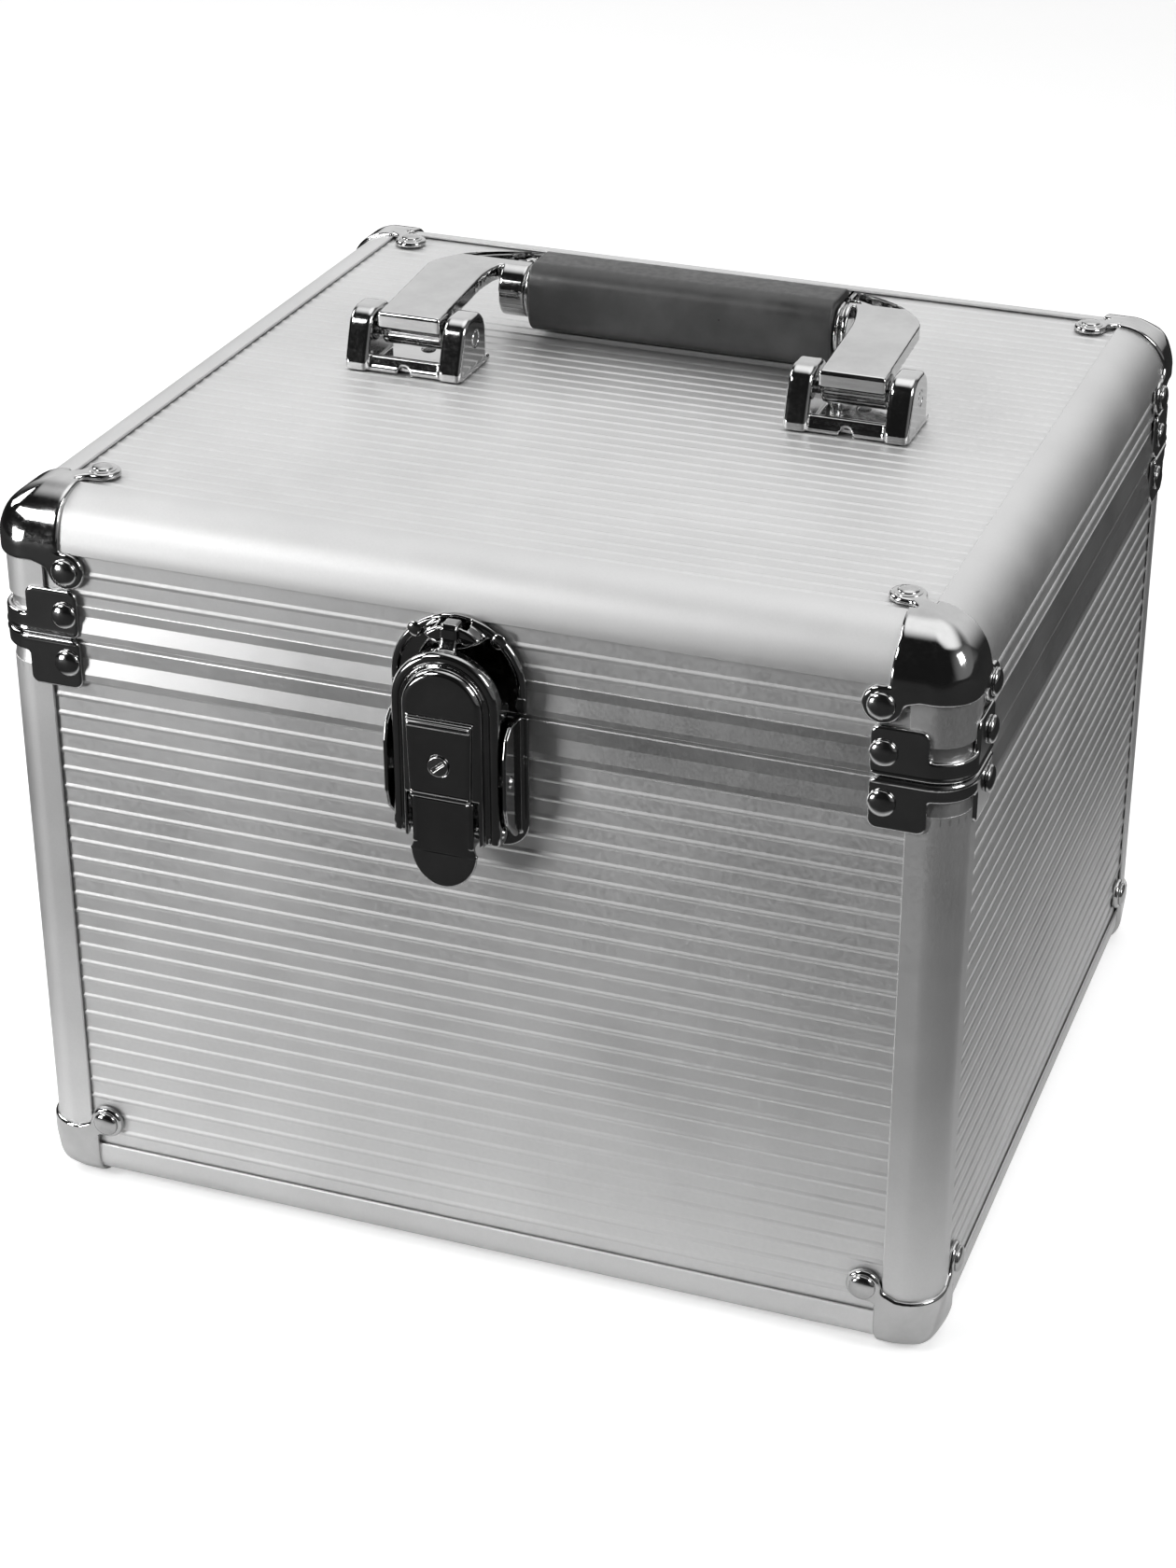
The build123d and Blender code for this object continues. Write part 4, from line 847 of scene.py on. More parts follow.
def buildRivets():
    plan = rivetPlan
    flat = plan["flushRadius"]
    low = domeOutline(plan["topRadius"], plan["topHeight"])
    low[2:4] = [(low[2][0], 0.0), (plan["radius"], 0.0), (plan["radius"], 0.12), (low[3][0], 0.3)]
    outlines = {
        "big": (domeOutline(plan["radius"], plan["height"]), 48),
        "small": (domeOutline(plan["smallRadius"], plan["smallHeight"]), 32),
        "top": (low, 48),
        "sunk": ([(0.0, -1.2), (1.8, -1.2), (flat, -0.15), (flat - 0.3, 0.0), (0.0, 0.0)], 32),
    }
    heads = {}
    for size, (outline, steps) in outlines.items():
        heads[size] = blank(size + "Head", meshFrom(size + "Head", *lathe(outline, steps)))
        heads[size].data.set_sharp_from_angle(angle=radians(50))
    spins = {"big": 2 * pi, "small": 2 * pi, "top": 0.0, "sunk": 0.0}
    for nodeName, body, kind, up in (("lid_rivets", "lid", "top", 1), ("base_rivets", "case_base", "bottom", -1)):
        places = rivetPlaces(kind, caseSize[kind], up)
        groups = [
            copiesOf("heads", heads[size], spots, "rivet_chrome", spins[size])
            for size, spots in places.items() if spots
        ]
        rivets = absorb(bpy.data.meshes.new(nodeName), groups)
        finished(blank(nodeName, rivets), body, "rivet_chrome", nodeName)
    for head in heads.values():
        dropPiece(head)


buildCorners()
buildRivets()
print("corners and rivets")


latchPlan = {
    "step": 0.36, "plateHalf": 20.0, "plateBottom": 144.0, "plateTop": 184.0, "plateThick": 1.2, "plateRound": 8.0,
    "wallIn": 16.6, "wallOut": 17.8, "wallReach": 12.0, "strikerHalf": 19.5, "strikerTop": 211.5,
    "loopHalf": 15.5, "loopTop": 204.5, "loopBottom": 149.2, "loopBack": 4.5, "loopFront": 11.7,
    "highBack": 7.6, "highFrom": 190.0, "domeHalf": 11.6, "domeFront": 14.0, "plateauFront": 15.8,
    "plateauTop": 186.4, "plateauBottom": 163.0, "plateauHalf": (9.5, 8.2), "sheet": 1.15,
    "window": 10.4, "pivot": (8.5, 168.0), "loopPin": (8.5, 152.0), "pinRadius": 1.6, "key": 173.4, "keyRadius": 3.0,
    "keyTurn": -40.0, "keyStep": 0.2, "leverClear": 0.08,
}


def depthOf(y):
    return -(y + caseSize["halfDepth"])


def latchBox(x, low, high, front):
    hy = -caseSize["halfDepth"]
    return (-x - 1, hy - front - 1, low - 1), (x + 1, hy + 1, high + 1)


def basePlateField(x, y, z):
    plan = latchPlan
    d = depthOf(y)
    low, high, half = plan["plateBottom"], plan["plateTop"], plan["plateHalf"]
    square = rectField(x, z, (0, high), (half, high - low), plan["plateRound"])
    outline = np.maximum(square, z - high)
    plate = slab(outline, d, 0.0, plan["plateThick"], 0.4)
    reach = plan["wallReach"]
    side = [(-1, low + 5.5), (4.5, low + 5.5), (reach - 1.2, low + 12), (reach, low + 17), (reach, high - 8)]
    side += [(reach - 1.5, high - 2.5), (reach - 4.5, high), (-1, high)]
    wallOutline = np.maximum(polygonField(d, z, side), -d)
    wall = slab(wallOutline, np.abs(x), plan["wallIn"], plan["wallOut"], 0.45)
    body = joined(plate, wall, 1.2)
    hole = circleField(d, z, plan["pivot"], plan["pinRadius"])
    return np.maximum(body, -hole)


def strikerField(x, y, z):
    plan = latchPlan
    d = depthOf(y)
    outline = archField(x, z, plan["strikerHalf"], plan["strikerTop"], 185.0)
    plate = slab(outline, d, 0.0, 1.2, 0.45)
    rim = slab(np.abs(outline + 1.3) - 0.9, d, 0.4, 1.75, 0.5)
    plate = np.maximum(joined(plate, np.maximum(rim, 190.0 - z), 0.8), -d)
    lens = np.maximum(
        np.sqrt(x**2 + (z - 198.93) ** 2) - 11.67,
        np.sqrt(x**2 + (z - 214.27) ** 2) - 11.67,
    )
    catch = slab(lens + np.maximum(d - 1.2, 0.0) * 0.17, d, 0.4, 5.6, 0.8)
    body = joined(plate, catch, 0.9)
    pocket = np.maximum(np.maximum(np.abs(x) - 4.4, 206.6 - z), np.maximum(1.2 - d, d - 4.6))
    return np.maximum(body, -pocket)


def loopField(x, y, z):
    plan = latchPlan
    d = depthOf(y)
    arch = archField(x, z, plan["loopHalf"], plan["loopTop"], 140.0)
    inner = archField(x, z, plan["domeHalf"], plan["loopTop"] - 4.1, 140.0)
    top, low = plan["plateauHalf"]
    corners = [(-top, plan["plateauTop"]), (top, plan["plateauTop"]), (low, 140.0), (-low, 140.0)]
    raised = polygonField(x, z, corners)

    def bulk(shrink):
        flange = slab(arch + shrink, d, -8.0, plan["loopFront"] - shrink, 1.5)
        dome = slab(inner + shrink, d, -8.0, plan["domeFront"] - shrink, 1.7)
        plateau = slab(raised + shrink, d, -8.0, plan["plateauFront"] - shrink, 0.9)
        if shrink == 0:
            ends = np.minimum(np.abs(z - plan["plateauTop"] + 1.3), np.abs(z - plan["plateauBottom"] - 1.0))
            ends = ends - 0.7
            ledge = slab(np.maximum(raised + 0.5, ends), d, 12.0, plan["plateauFront"] + 0.75, 0.6)
            plateau = np.minimum(plateau, ledge)
        ditch = np.abs(inner - 1.1) - 0.35
        body = joined(flange, dome, 0.7)
        if shrink == 0:
            body = np.maximum(body, -np.maximum(ditch, plan["loopFront"] - 0.45 - d))
        return joined(body, plateau, 0.6)

    shell = np.maximum(bulk(0.0), -bulk(plan["sheet"]))
    back = np.where(z > plan["highFrom"], plan["highBack"], plan["loopBack"])
    shell = common(shell, back - d, 0.3)
    shell = common(shell, plan["loopBottom"] - z, 0.5)
    window = np.maximum(np.abs(x) - plan["window"], z - plan["plateauBottom"])
    shell = common(shell, -window, 0.6)
    pa, pb = plan["pivot"]
    notch = np.minimum(circleField(d, z, (pa, pb), 2.4), np.maximum(np.abs(z - pb) - 2.4, d - pa))
    shell = np.maximum(shell, -notch)
    qa, qb = plan["loopPin"]
    knuckle = slab(circleField(d, z, (qa, qb), 2.7), np.abs(x), plan["window"] + 0.4, plan["loopHalf"], 0.4)
    shell = joined(shell, knuckle, 0.8)
    strap = [(2.5, 208.9), (2.5, 210.6), (6.0, 210.6), (6.9, 209.6), (6.9, 206.8), (8.4, 204.6), (8.4, 202.6)]
    strap += [(7.8, 202.6), (7.8, 204.2), (6.3, 206.4), (6.3, 209.2), (5.8, 209.9), (2.9, 209.9), (2.9, 208.9)]
    hook = slab(polygonField(d, z, strap) - 0.3, x, -2.4, 2.4, 0.8)
    shell = joined(shell, hook, 0.7)
    shell = np.maximum(shell, -circleField(d, z, (qa, qb), plan["pinRadius"]))
    keyHole = circleField(x, z, (0, plan["key"]), plan["keyRadius"] + 0.08)
    return np.maximum(shell, -np.maximum(keyHole, 12.0 - d))


def leverField(x, y, z):
    d = depthOf(y)
    half = [(8.6, 162.2), (7.7, 157.0), (8.1, 151.0), (9.6, 145.9)]
    neck = half + [(-a, b) for a, b in reversed(half)]
    tip = (np.sqrt((x / 9.6) ** 2 + (np.minimum(z - 146.0, 0.0) / 10.3) ** 2) - 1.0) * 8.5
    tip = np.maximum(tip, z - 146.0)
    outline = joined(polygonField(x, z, neck), tip, 0.8)
    dish = 0.5 * np.clip((147.0 - z) / 11.0, 0, 1) * (x / 9.6) ** 2 - 0.09 * np.maximum(146.5 - z, 0.0)
    plate = slab(outline, d + dish, 12.6, 14.0, 0.6)
    step = slab(np.maximum(outline + 1.2, 146.2 - z), d, 12.4, 13.6, 0.3)
    plate = joined(plate, step, 0.3)
    side = [(5.1, 168.0), (11.9, 168.0), (12.3, 162.5), (14.0, 162.2), (14.0, 148.6), (8.5, 148.6), (5.1, 152.0)]
    arm = polygonField(d, z, side)
    for pin in (latchPlan["pivot"], latchPlan["loopPin"]):
        arm = np.minimum(arm, circleField(d, z, pin, 3.4))
    arms = slab(arm, np.abs(x), 7.5, 8.9, 0.35)
    body = joined(plate, arms, 0.7)
    for pin in (latchPlan["pivot"], latchPlan["loopPin"]):
        body = np.maximum(body, -circleField(d, z, pin, latchPlan["pinRadius"] + latchPlan["leverClear"]))
    return body


def keyField(x, y, z):
    d = depthOf(y)
    plug = slab(circleField(x, z, (0, latchPlan["key"]), latchPlan["keyRadius"]), d, 5.3, 16.6, 0.35)
    angle = radians(latchPlan["keyTurn"])
    across = x * sin(angle) + (z - latchPlan["key"]) * cos(angle)
    along = x * cos(angle) - (z - latchPlan["key"]) * sin(angle)
    slit = np.maximum(np.maximum(np.abs(across) - 0.5, np.abs(along) - 2.2), 15.4 - d)
    return np.maximum(plug, -slit)


def buildLatch():
    plan, hy = latchPlan, caseSize["halfDepth"]
    rows = (
        ("latch_base_plate", "case_base", basePlateField, latchBox(20.5, 143.5, 185, 12.5)),
        ("latch_striker", "lid", strikerField, latchBox(20, 184.5, 212, 6)),
        ("latch_loop", "latch_loop", loopField, latchBox(16, 148.5, 212, 16.5)),
        ("latch_lever", "latch_lever", leverField, latchBox(10, 135, 172, 14.5)),
    )
    for nodeName, body, field, (low, high) in rows:
        finishedNet(nodeName, body, "latch_chrome", netOf(field, low, high, plan["step"]))
    plug = netOf(keyField, (-3.5, -hy - 17.2, 169.5), (3.5, -hy - 4.8, 177.0), plan["keyStep"])
    finishedNet("latch_key_plug", "key_plug", "lock_steel", plug)
    for nodeName, body, (front, height), half in (
        ("latch_pivot_pin", "case_base", plan["pivot"], 18.4), ("latch_loop_pin", "latch_loop", plan["loopPin"], 16.1),
    ):
        pin = pinPart(plan["pinRadius"], 0.0, half, -hy - front, height, 0.5)
        finishedSolid(nodeName, body, "pin_steel", [pin])


buildLatch()
print("latch")


handlePlan = {
    "step": 0.42, "spread": 69.6, "floor": 224.8, "pinY": 5.0, "pinUp": 10.2, "pinRadius": 2.5, "pinHalf": 19.0,
    "bracketHalf": 19.0, "bracketFront": -6.5, "bracketBack": 16.5, "lugWidth": 7.5, "lugDepth": 20.0,
    "lugHeight": 17.6, "lugLean": 0.22, "lugRound": 7.0, "gripY": 45.5, "gripUp": 13.0, "gripHalf": 48.9,
    "gripShift": 3.3, "gripSection": 10.8, "gripCorner": 6.2, "gripRound": 0.8, "gripSteps": 12, "gripGap": 0.3,
    "gripBore": 3.6, "rodRadius": 3.5, "rodHalf": 55.2, "armTop": 17.4, "armSlope": 0.0928, "armHalf": 9.8,
    "armSheet": 2.2, "armSkirt": 4.6, "collarEnd": 56.2, "barrel": (9.0, 8.8), "flange": (9.9, 9.5, 1.2),
}


def bracketBodyField(x, y, z):
    plan = handlePlan
    s, rise = x - plan["spread"], z - plan["floor"]
    half, front, back = plan["bracketHalf"], plan["bracketFront"], plan["bracketBack"]
    tilt = plan["lugLean"]
    foot = slab(rectField(s, y, (0, (front + back) / 2), (half, (back - front) / 2), 1.0), rise, 0.0, 1.5, 0.4)
    soft, behind, tall = plan["lugRound"], front + plan["lugDepth"], plan["lugHeight"]
    corners = [
        (front + soft - tilt * 6, soft - 6), (front + soft + tilt * (tall - soft), tall - soft),
        (behind - soft, tall - soft), (behind - soft, soft - 6),
    ]
    lugOutline = np.maximum(polygonField(y, rise, corners) - soft, -rise)
    lug = slab(lugOutline, np.abs(s), half - plan["lugWidth"], half, 1.5)
    body = joined(foot, np.maximum(lug, -rise), 0.8)
    leaning = y - tilt * rise
    strip = slab(rectField(s, rise, (0, 2.3), (half - 4, 2.3), 0.0), leaning, front, front + 1.9, 0.5)
    notch = circleField(s, rise, (0, 0), 2.2)
    strip = common(np.maximum(strip, -rise), -notch, 0.6)
    body = joined(body, strip, 0.7)
    body = np.maximum(body, -np.maximum(notch, y - front - 2.2))
    return np.maximum(body, -circleField(y, rise, (plan["pinY"], plan["pinUp"]), plan["pinRadius"]))


def bezier(a, b, c, d, steps=10):
    result = []
    for i in range(steps + 1):
        t = i / steps
        weights = ((1 - t) ** 3, 3 * t * (1 - t) ** 2, 3 * t * t * (1 - t), t**3)
        result.append(tuple(sum(w * p[k] for w, p in zip(weights, (a, b, c, d))) for k in (0, 1)))
    return result


def armOutline(end):
    plan = handlePlan
    inner, outer = plan["spread"] - plan["armHalf"], plan["spread"] + plan["armHalf"]
    back, gy = plan["gripY"] + plan["gripSection"] + 0.1, plan["gripY"]
    outline = [(inner, -1.4), (outer, -1.4)]
    outline += bezier((outer, 36.0), (outer, back - 15), (outer - 12, back - 3), (end, back))
    outline += bezier((end, gy + 6), (inner - 2, gy + 1), (inner, gy - 9), (inner, gy - 17))
    return outline


# One arm; end is where its collar meets the grip.
def armField(end):
    plan = handlePlan
    corners = armOutline(end)
    gy, gz = plan["gripY"], plan["gripUp"]
    pinY, pinUp = plan["pinY"], plan["pinUp"]
    top, sheet, skirt = plan["armTop"], plan["armSheet"], plan["armSkirt"]
    last = plan["collarEnd"]

    def oval(y, rise, wide, tall):
        return (np.sqrt(((y - gy) / wide) ** 2 + ((rise - gz) / tall) ** 2) - 1.0) * tall

    def field(x, y, z):
        rise = z - plan["floor"]
        tilted = rise - plan["armSlope"] * np.maximum(y, 0.0)
        outline = polygonField(x, y, corners)
        cover = slab(outline, tilted, top - skirt - 4, top, 0.8)
        cover = np.maximum(cover, top - skirt - tilted)
        hollow = slab(outline + sheet, tilted, top - 14, top - sheet, 0.8)
        shell = common(cover, -hollow, 0.5)
        roll = slab(circleField(y, rise, (pinY, pinUp), 4.7), x, 59.8, 79.4, 0.5)
        lead = [(-1.4, pinUp + 2.6), (-1.4, 16.0), (4.0, 16.4), (8.0, 15.4), (7.5, pinUp), (0.9, pinUp + 1.0)]
        bridge = slab(polygonField(y, rise, lead), x, 59.8, 79.4, 0.5)
        body = joined(shell, joined(roll, bridge, 2.0), 1.6)
        flangeWide, flangeTall, flangeThick = plan["flange"]
        neck = end + flangeThick
        barrel = slab(oval(y, rise, *plan["barrel"]), x, neck + 0.8, last, 0.6)
        body = joined(body, barrel, 1.6)
        core = slab(oval(y, rise, plan["barrel"][0] - 1.6, plan["barrel"][1] - 1.2), x, end, last, 0.2)
        body = np.maximum(body, -np.maximum(neck - 0.4 - x, np.maximum(x - neck - 0.8, -core)))
        body = np.minimum(body, core)
        body = np.minimum(body, slab(oval(y, rise, flangeWide, flangeTall), x, end, neck, 0.45))
        body = np.maximum(body, -np.maximum(circleField(y, rise, (gy, gz), plan["rodRadius"]), x - last + 1))
        body = np.maximum(body, np.maximum(end - x, tilted - top))
        return np.maximum(body, -circleField(y, rise, (pinY, pinUp), plan["pinRadius"] + 0.08))

    return field


# Rubber sleeve of rounded square section, with a hole for the rod.
def gripPart():
    plan = handlePlan
    half, soft, steps = plan["gripHalf"], plan["gripRound"], plan["gripSteps"]
    stations = [(half, None)]
    for i in range(5):
        turn = pi / 2 * i / 4
        stations.append((half - soft + soft * cos(turn), soft - soft * sin(turn)))
    stations += [(half * t, 0.0) for t in (0.75, 0.5, 0.25)]
    full = stations + [(0.0, 0.0)] + [(-x, cut) for x, cut in reversed(stations)]
    points, faces = [], []
    around = 4 * (steps + 1)
    for x, cut in full:
        for quarter in range(4):
            signY, signZ = ((1, 1), (-1, 1), (-1, -1), (1, -1))[quarter]
            for s in range(steps + 1):
                angle = pi / 2 * (quarter + s / steps)
                if cut is None:
                    across, up = plan["gripBore"] * cos(angle), plan["gripBore"] * sin(angle)
                else:
                    corner = plan["gripCorner"] - cut
                    flat = plan["gripSection"] - plan["gripCorner"]
                    across, up = signY * flat + corner * cos(angle), signZ * flat + corner * sin(angle)
                points.append((x + plan["gripShift"], plan["gripY"] + across, plan["floor"] + plan["gripUp"] + up))
    rings = len(full)
    for r in range(rings):
        after = (r + 1) % rings
        for s in range(around):
            e = (s + 1) % around
            faces.append((r * around + s, r * around + e, after * around + e, after * around + s))
    return points, faces


def buildHandle():
    plan = handlePlan
    floor, step = plan["floor"], plan["step"]
    bracket = netOf(bracketBodyField, (49.5, -8, floor - 1), (89.7, 21, floor + 19), step)
    for side, sign in (("left", -1), ("right", 1)):
        finishedNet("handle_bracket_" + side, "lid", "handle_chrome", bracket, sign)
        end = plan["gripHalf"] + plan["gripGap"] + sign * plan["gripShift"]
        arm = netOf(armField(end), (end - 1, -3, floor + 4), (80.6, 64.5, floor + 21.5), step)
        finishedNet("handle_arm_" + side, "handle", "handle_chrome", arm, sign)
    place = plan["pinHalf"], plan["pinY"], floor + plan["pinUp"], 0.5
    pins = [pinPart(plan["pinRadius"], sign * plan["spread"], *place) for sign in (-1, 1)]
    finishedSolid("handle_pins", "lid", "pin_steel", pins)
    rod = pinPart(plan["rodRadius"], 0.0, plan["rodHalf"], plan["gripY"], floor + plan["gripUp"], 0.4)
    finishedSolid("handle_rod", "handle", "pin_steel", [rod])
    finishedSolid("handle_grip", "handle", "grip_rubber", [gripPart()], smoothAngle=50)


buildHandle()
print("handle")


hingePlan = {
    "step": 0.45, "spread": 80.0, "half": 23.0, "leaf": 22.0, "thick": 1.5, "axisBack": 4.2, "knuckle": 3.4,
    "centre": 17.6, "pin": 2.0, "pinHalf": 23.5, "sideGap": 0.3, "clear": 3.9, "lug": 12.15, "stopTurn": 100.0,
}


def hingeField(onLid):
    plan = hingePlan
    sign = 1 if onLid else -1

    def field(x, y, z):
        back = y - caseSize["halfDepth"]
        rise = (z - caseSize["seam"]) * sign
        s = x - plan["spread"]
        middle, tall = (plan["clear"] + plan["leaf"]) / 2, (plan["leaf"] - plan["clear"]) / 2
        leaf = slab(rectField(s, rise, (0, middle), (plan["half"], tall), 2.0), back, 0.0, plan["thick"], 0.45)
        strip = rectField(s, rise, (0, 6.0), (plan["half"], 2.1), 0.0)
        leaf = np.minimum(leaf, slab(strip, back, 0.0, plan["thick"], 0.3))
        edge = plan["centre"] / 2
        if onLid:
            inside = np.abs(s) - edge
        else:
            inside = np.maximum(edge + plan["sideGap"] - np.abs(s), np.abs(s) - plan["half"])
        roll = circleField(back, rise, (plan["axisBack"], 0.0), plan["knuckle"])
        tongue = rectField(back, rise, (plan["thick"] / 2, 2.4), (plan["thick"] / 2, 2.4), 0.0)
        knuckle = common(joined(roll, tongue, 1.2), inside, 0.6)
        body = joined(leaf, knuckle, 0.5)
        if onLid:
            turn = radians(plan["stopTurn"])
            inner = plan["axisBack"] - plan["thick"] - 0.2
            b, r = back - plan["axisBack"], rise
            along = b * cos(turn) + r * sin(turn)
            up = -b * sin(turn) + r * cos(turn)
            lug = rectField(along, up, (-inner + 0.8, -plan["lug"] / 2), (0.8, plan["lug"] / 2), 0.3)
            body = joined(body, np.maximum(lug, np.abs(s) - edge + 0.3), 0.6)
        body = np.maximum(body, -back)
        return np.maximum(body, -circleField(back, rise, (plan["axisBack"], 0.0), plan["pin"] + 0.06))

    return field


def buildHinges():
    plan, seam, hy = hingePlan, caseSize["seam"], caseSize["halfDepth"]
    for onLid, kind, body in ((True, "lid", "lid"), (False, "base", "case_base")):
        low = (56, hy - 1, seam - 6 if onLid else seam - plan["leaf"] - 1)
        high = (104, hy + 18, seam + plan["leaf"] + 1 if onLid else seam + 6)
        leaf = netOf(hingeField(onLid), low, high, plan["step"])
        for side, sign in (("left", -1), ("right", 1)):
            finishedNet(f"hinge_{kind}_leaf_{side}", body, "hinge_steel", leaf, sign)
    place = plan["pinHalf"], hy + plan["axisBack"], seam, 0.5
    pins = [pinPart(plan["pin"], sign * plan["spread"], *place) for sign in (-1, 1)]
    finishedSolid("hinge_pins", "case_base", "pin_steel", pins)


buildHinges()
print("hinges")


foamPlan = {
    "half": (132.5, 123.5), "low": 33.0, "high": 165.0, "cut": 10.0, "slot": (27.2, 102.6), "slotCount": (5, 2),
    "pitch": (48.7, 116.5333), "round": 1.6, "padHalf": (131.2, 122.2), "floorPad": (9.6, 33.0),
    "lidPad": (181.0, 217.1),
}


# An upright block; its corners are cut when a cut is given.
def block(x, y, halves, low, high, cut=0.0):
    hx, hy = halves
    half = [(cut - hx, -hy), (hx - cut, -hy)]
    if cut:
        half += [(hx, cut - hy), (hx, hy - cut)]
    outline = [(x + a, y + b) for a, b in half + [(-a, -b) for a, b in half]]
    return sweptSection(outline, (0, 0, low), (0, 0, high), xDir, yDir)


def buildFoam():
    plan = foamPlan
    low, high = plan["low"], plan["high"]
    foam = solidPiece("foam_block", [block(0, 0, plan["half"], low, high, plan["cut"])])
    halfSlot = [size / 2 for size in plan["slot"]]
    columns, rows = plan["slotCount"]
    places = [
        ((column - (columns - 1) / 2) * plan["pitch"][0], (row - (rows - 1) / 2) * plan["pitch"][1])
        for column in range(columns) for row in range(rows)
    ]
    cutter = solidPiece("slotCutter", [block(x, y, halfSlot, low - 1, high + 1) for x, y in places])
    slots = foam.modifiers.new("slots", "BOOLEAN")
    slots.operation = "DIFFERENCE"
    slots.solver = "EXACT"
    slots.object = cutter
    soft = foam.modifiers.new("soft", "BEVEL")
    soft.width = plan["round"] * mm
    soft.segments = 4
    soft.limit_method = "ANGLE"
    baked(foam)
    dropPiece(cutter)
    foam.data.shade_smooth()
    foam.data.set_sharp_from_angle(angle=radians(35))
    finished(foam, "case_base", "foam", "foam_block")
    for nodeName, body, span in (
        ("foam_floor_pad", "case_base", plan["floorPad"]), ("lid_foam_pad", "lid", plan["lidPad"]),
    ):
        pad = solidPiece(nodeName, [block(0, 0, plan["padHalf"], *span, plan["cut"])], bevel=plan["round"])
        finished(pad, body, "foam", nodeName)


buildFoam()
print("foam")


cameraPlace = {
    "location": (0.30186, -0.83245, 0.56914), "turn": (62.478, -0.845, 18.678), "lens": 72.78, "sensor": 36.0,
    "shift": (-0.0774, -0.0238), "nearest": 0.01,
}
# Place, power and size of each lamp, all aimed at the middle of the case.
lamps = {
    "key": ((-0.85, -0.95, 1.05), 8.3, (0.5, 0.4)),
    "low": ((-1.1, -1.2, 0.15), 10.5, (0.45, 0.45)),
    "side": ((-1.2, 0.1, 0.9), 6.4, (0.5, 0.5)),
    "right": ((1.1, -0.3, 0.9), 6.8, (0.5, 0.5)),
}
lampTarget = Vector((0, 0, 0.12))
# Broad soft areas of the studio: direction, cosine where they fade in, cosine where they are full, strength.
studioAreas = {
    "behind": ((-0.15, 0.9, 0.42), 0.7, 0.93, 0.3),
    "overhead": ((0.0, 0.25, 0.97), 0.80, 0.97, 1.6),
    "right": ((0.98, 0.0, 0.2), 0.4, 0.9, 0.2),
}
roomPlan = {"ambient": 0.015, "backdrop": 1.0}
# near and far: where the floor fades into the painted shade that the metal reflects; dark: the tone of that painted
# shade.
floorPlan = {
    "reach": 6.0, "roughness": 0.9, "specular": 0.1, "paper": (0.86, 0.88), "grainScale": 40.0, "glow": 0.45,
    "half": (0.14, 0.131, 0.0), "near": 0.03, "far": 0.16, "dark": 0.03,
}


def buildCamera():
    plan = cameraPlace
    data = bpy.data.cameras.new("camera")
    data.sensor_width, data.lens, data.clip_start = plan["sensor"], plan["lens"], plan["nearest"]
    data.shift_x, data.shift_y = plan["shift"]
    camera = bpy.data.objects.new("camera", data)
    camera.location = plan["location"]
    camera.rotation_euler = [radians(angle) for angle in plan["turn"]]
    bpy.context.scene.collection.objects.link(camera)
    bpy.context.scene.camera = camera


def buildLamps():
    for name, (place, power, (width, height)) in lamps.items():
        data = bpy.data.lights.new(name + "Light", "AREA")
        data.energy, data.shape, data.size, data.size_y = power, "RECTANGLE", width, height
        lamp = bpy.data.objects.new(name + "Light", data)
        lamp.location = place
        lamp.rotation_euler = (lampTarget - Vector(place)).to_track_quat("-Z", "Y").to_euler()
        bpy.context.scene.collection.objects.link(lamp)


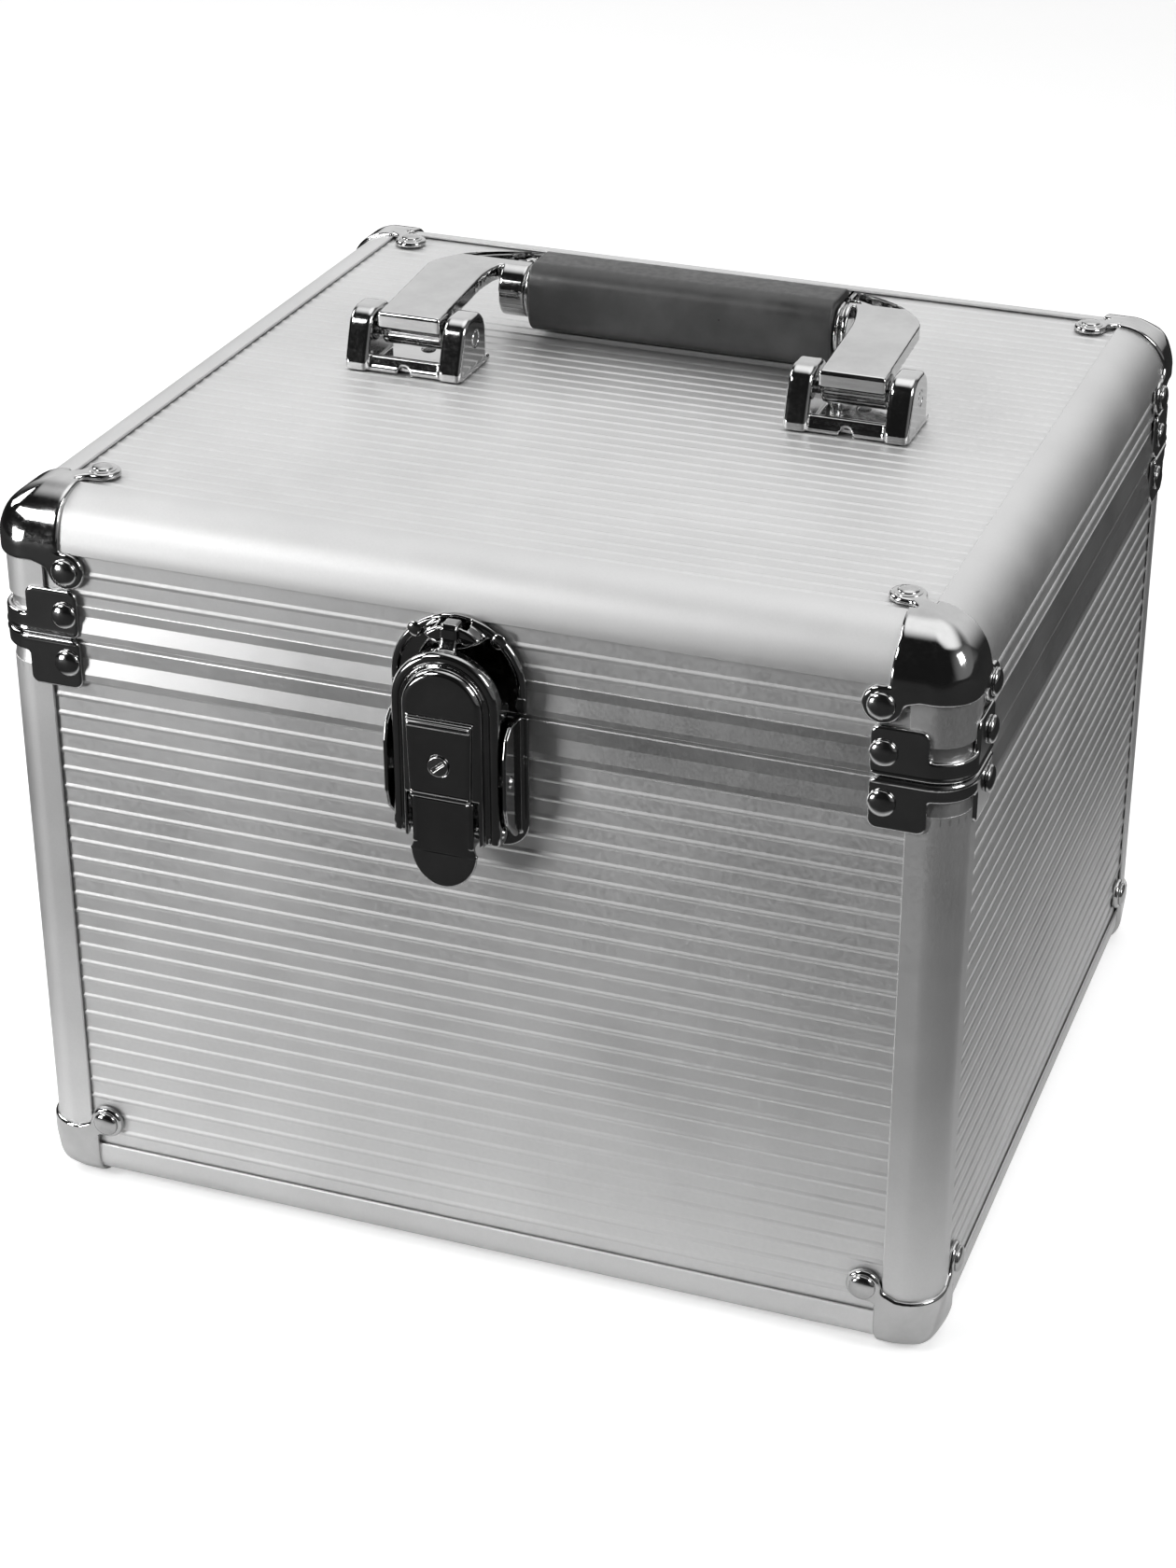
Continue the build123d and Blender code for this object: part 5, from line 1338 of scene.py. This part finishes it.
# The world is the soft areas on a dark room; the eye, metal and glass see the white backdrop behind the case.
def buildWorld():
    world = bpy.data.worlds.new("studio")
    bpy.context.scene.world = world
    world.use_nodes = True
    tree = world.node_tree
    place = addNode(tree, "ShaderNodeTexCoord").outputs["Generated"]
    total, shares = roomPlan["ambient"], {}
    for name, (direction, outer, inner, strength) in studioAreas.items():
        facing = Vector(direction).normalized()
        facing = maths(tree, "DOT_PRODUCT", place, facing, kind="VectorMath", output="Value")
        shares[name] = ranged(tree, facing, 0.0, 1.0, outer, inner, interpolation_type="SMOOTHSTEP")
        total = maths(tree, "MULTIPLY_ADD", shares[name], strength, total)
    path = addNode(tree, "ShaderNodeLightPath").outputs
    metalSees = maths(tree, "MULTIPLY", path["Is Glossy Ray"], shares["behind"])
    seen = maths(tree, "MAXIMUM", path["Is Camera Ray"], path["Is Transmission Ray"])
    inputs = {0: maths(tree, "MAXIMUM", seen, metalSees), 2: total, 3: roomPlan["backdrop"]}
    strength = addNode(tree, "ShaderNodeMix", inputs).outputs[0]
    fillInputs(tree, tree.nodes["Background"], {"Strength": strength, "Color": grey(1.0)})


# White paper under the case; away from it the floor is painted dark for every ray but the camera's: a painted dark
# reflection in the metal and painted shade in the bounce light.
def buildFloor():
    plan = floorPlan
    reach = plan["reach"]
    mesh = bpy.data.meshes.new("floor")
    corners = [(-reach, -reach, 0), (reach, -reach, 0), (reach, reach, 0), (-reach, reach, 0)]
    mesh.from_pydata(corners, [], [(0, 1, 2, 3)])
    material, tree = newMaterial("floorPaper")
    mesh.materials.append(material)
    place = objectPlace(tree)
    grain = addNode(tree, "ShaderNodeTexNoise", {"Vector": place, "Scale": plan["grainScale"]}).outputs["Fac"]
    outside = maths(tree, "ABSOLUTE", place, kind="VectorMath")
    outside = maths(tree, "SUBTRACT", outside, plan["half"], kind="VectorMath")
    outside = maths(tree, "MAXIMUM", outside, kind="VectorMath")
    away = maths(tree, "LENGTH", outside, kind="VectorMath", output="Value")
    edge = ranged(tree, away, 0.0, 1.0, plan["near"], plan["far"], interpolation_type="SMOOTHSTEP")
    eye = addNode(tree, "ShaderNodeLightPath").outputs["Is Camera Ray"]
    # Painted shade: away from the paper, reflections and bounce light see the floor dark, while the camera sees it
    # white.
    reflectionShade = maths(tree, "SUBTRACT", edge, eye, use_clamp=True)
    paper = mixed(tree, grain, *(grey(tone) for tone in plan["paper"]))
    fillInputs(tree, tree.nodes["Principled BSDF"], {
        "Roughness": plan["roughness"], "Specular IOR Level": plan["specular"],
        "Base Color": mixed(tree, reflectionShade, paper, grey(plan["dark"])),
        "Emission Color": grey(1.0), "Emission Strength": maths(tree, "MULTIPLY", eye, plan["glow"]),
    })
    blank("floor", mesh)


buildCamera()
buildLamps()
buildWorld()
buildFloor()
bpy.context.scene.view_settings.view_transform = "Standard"
print("stage")
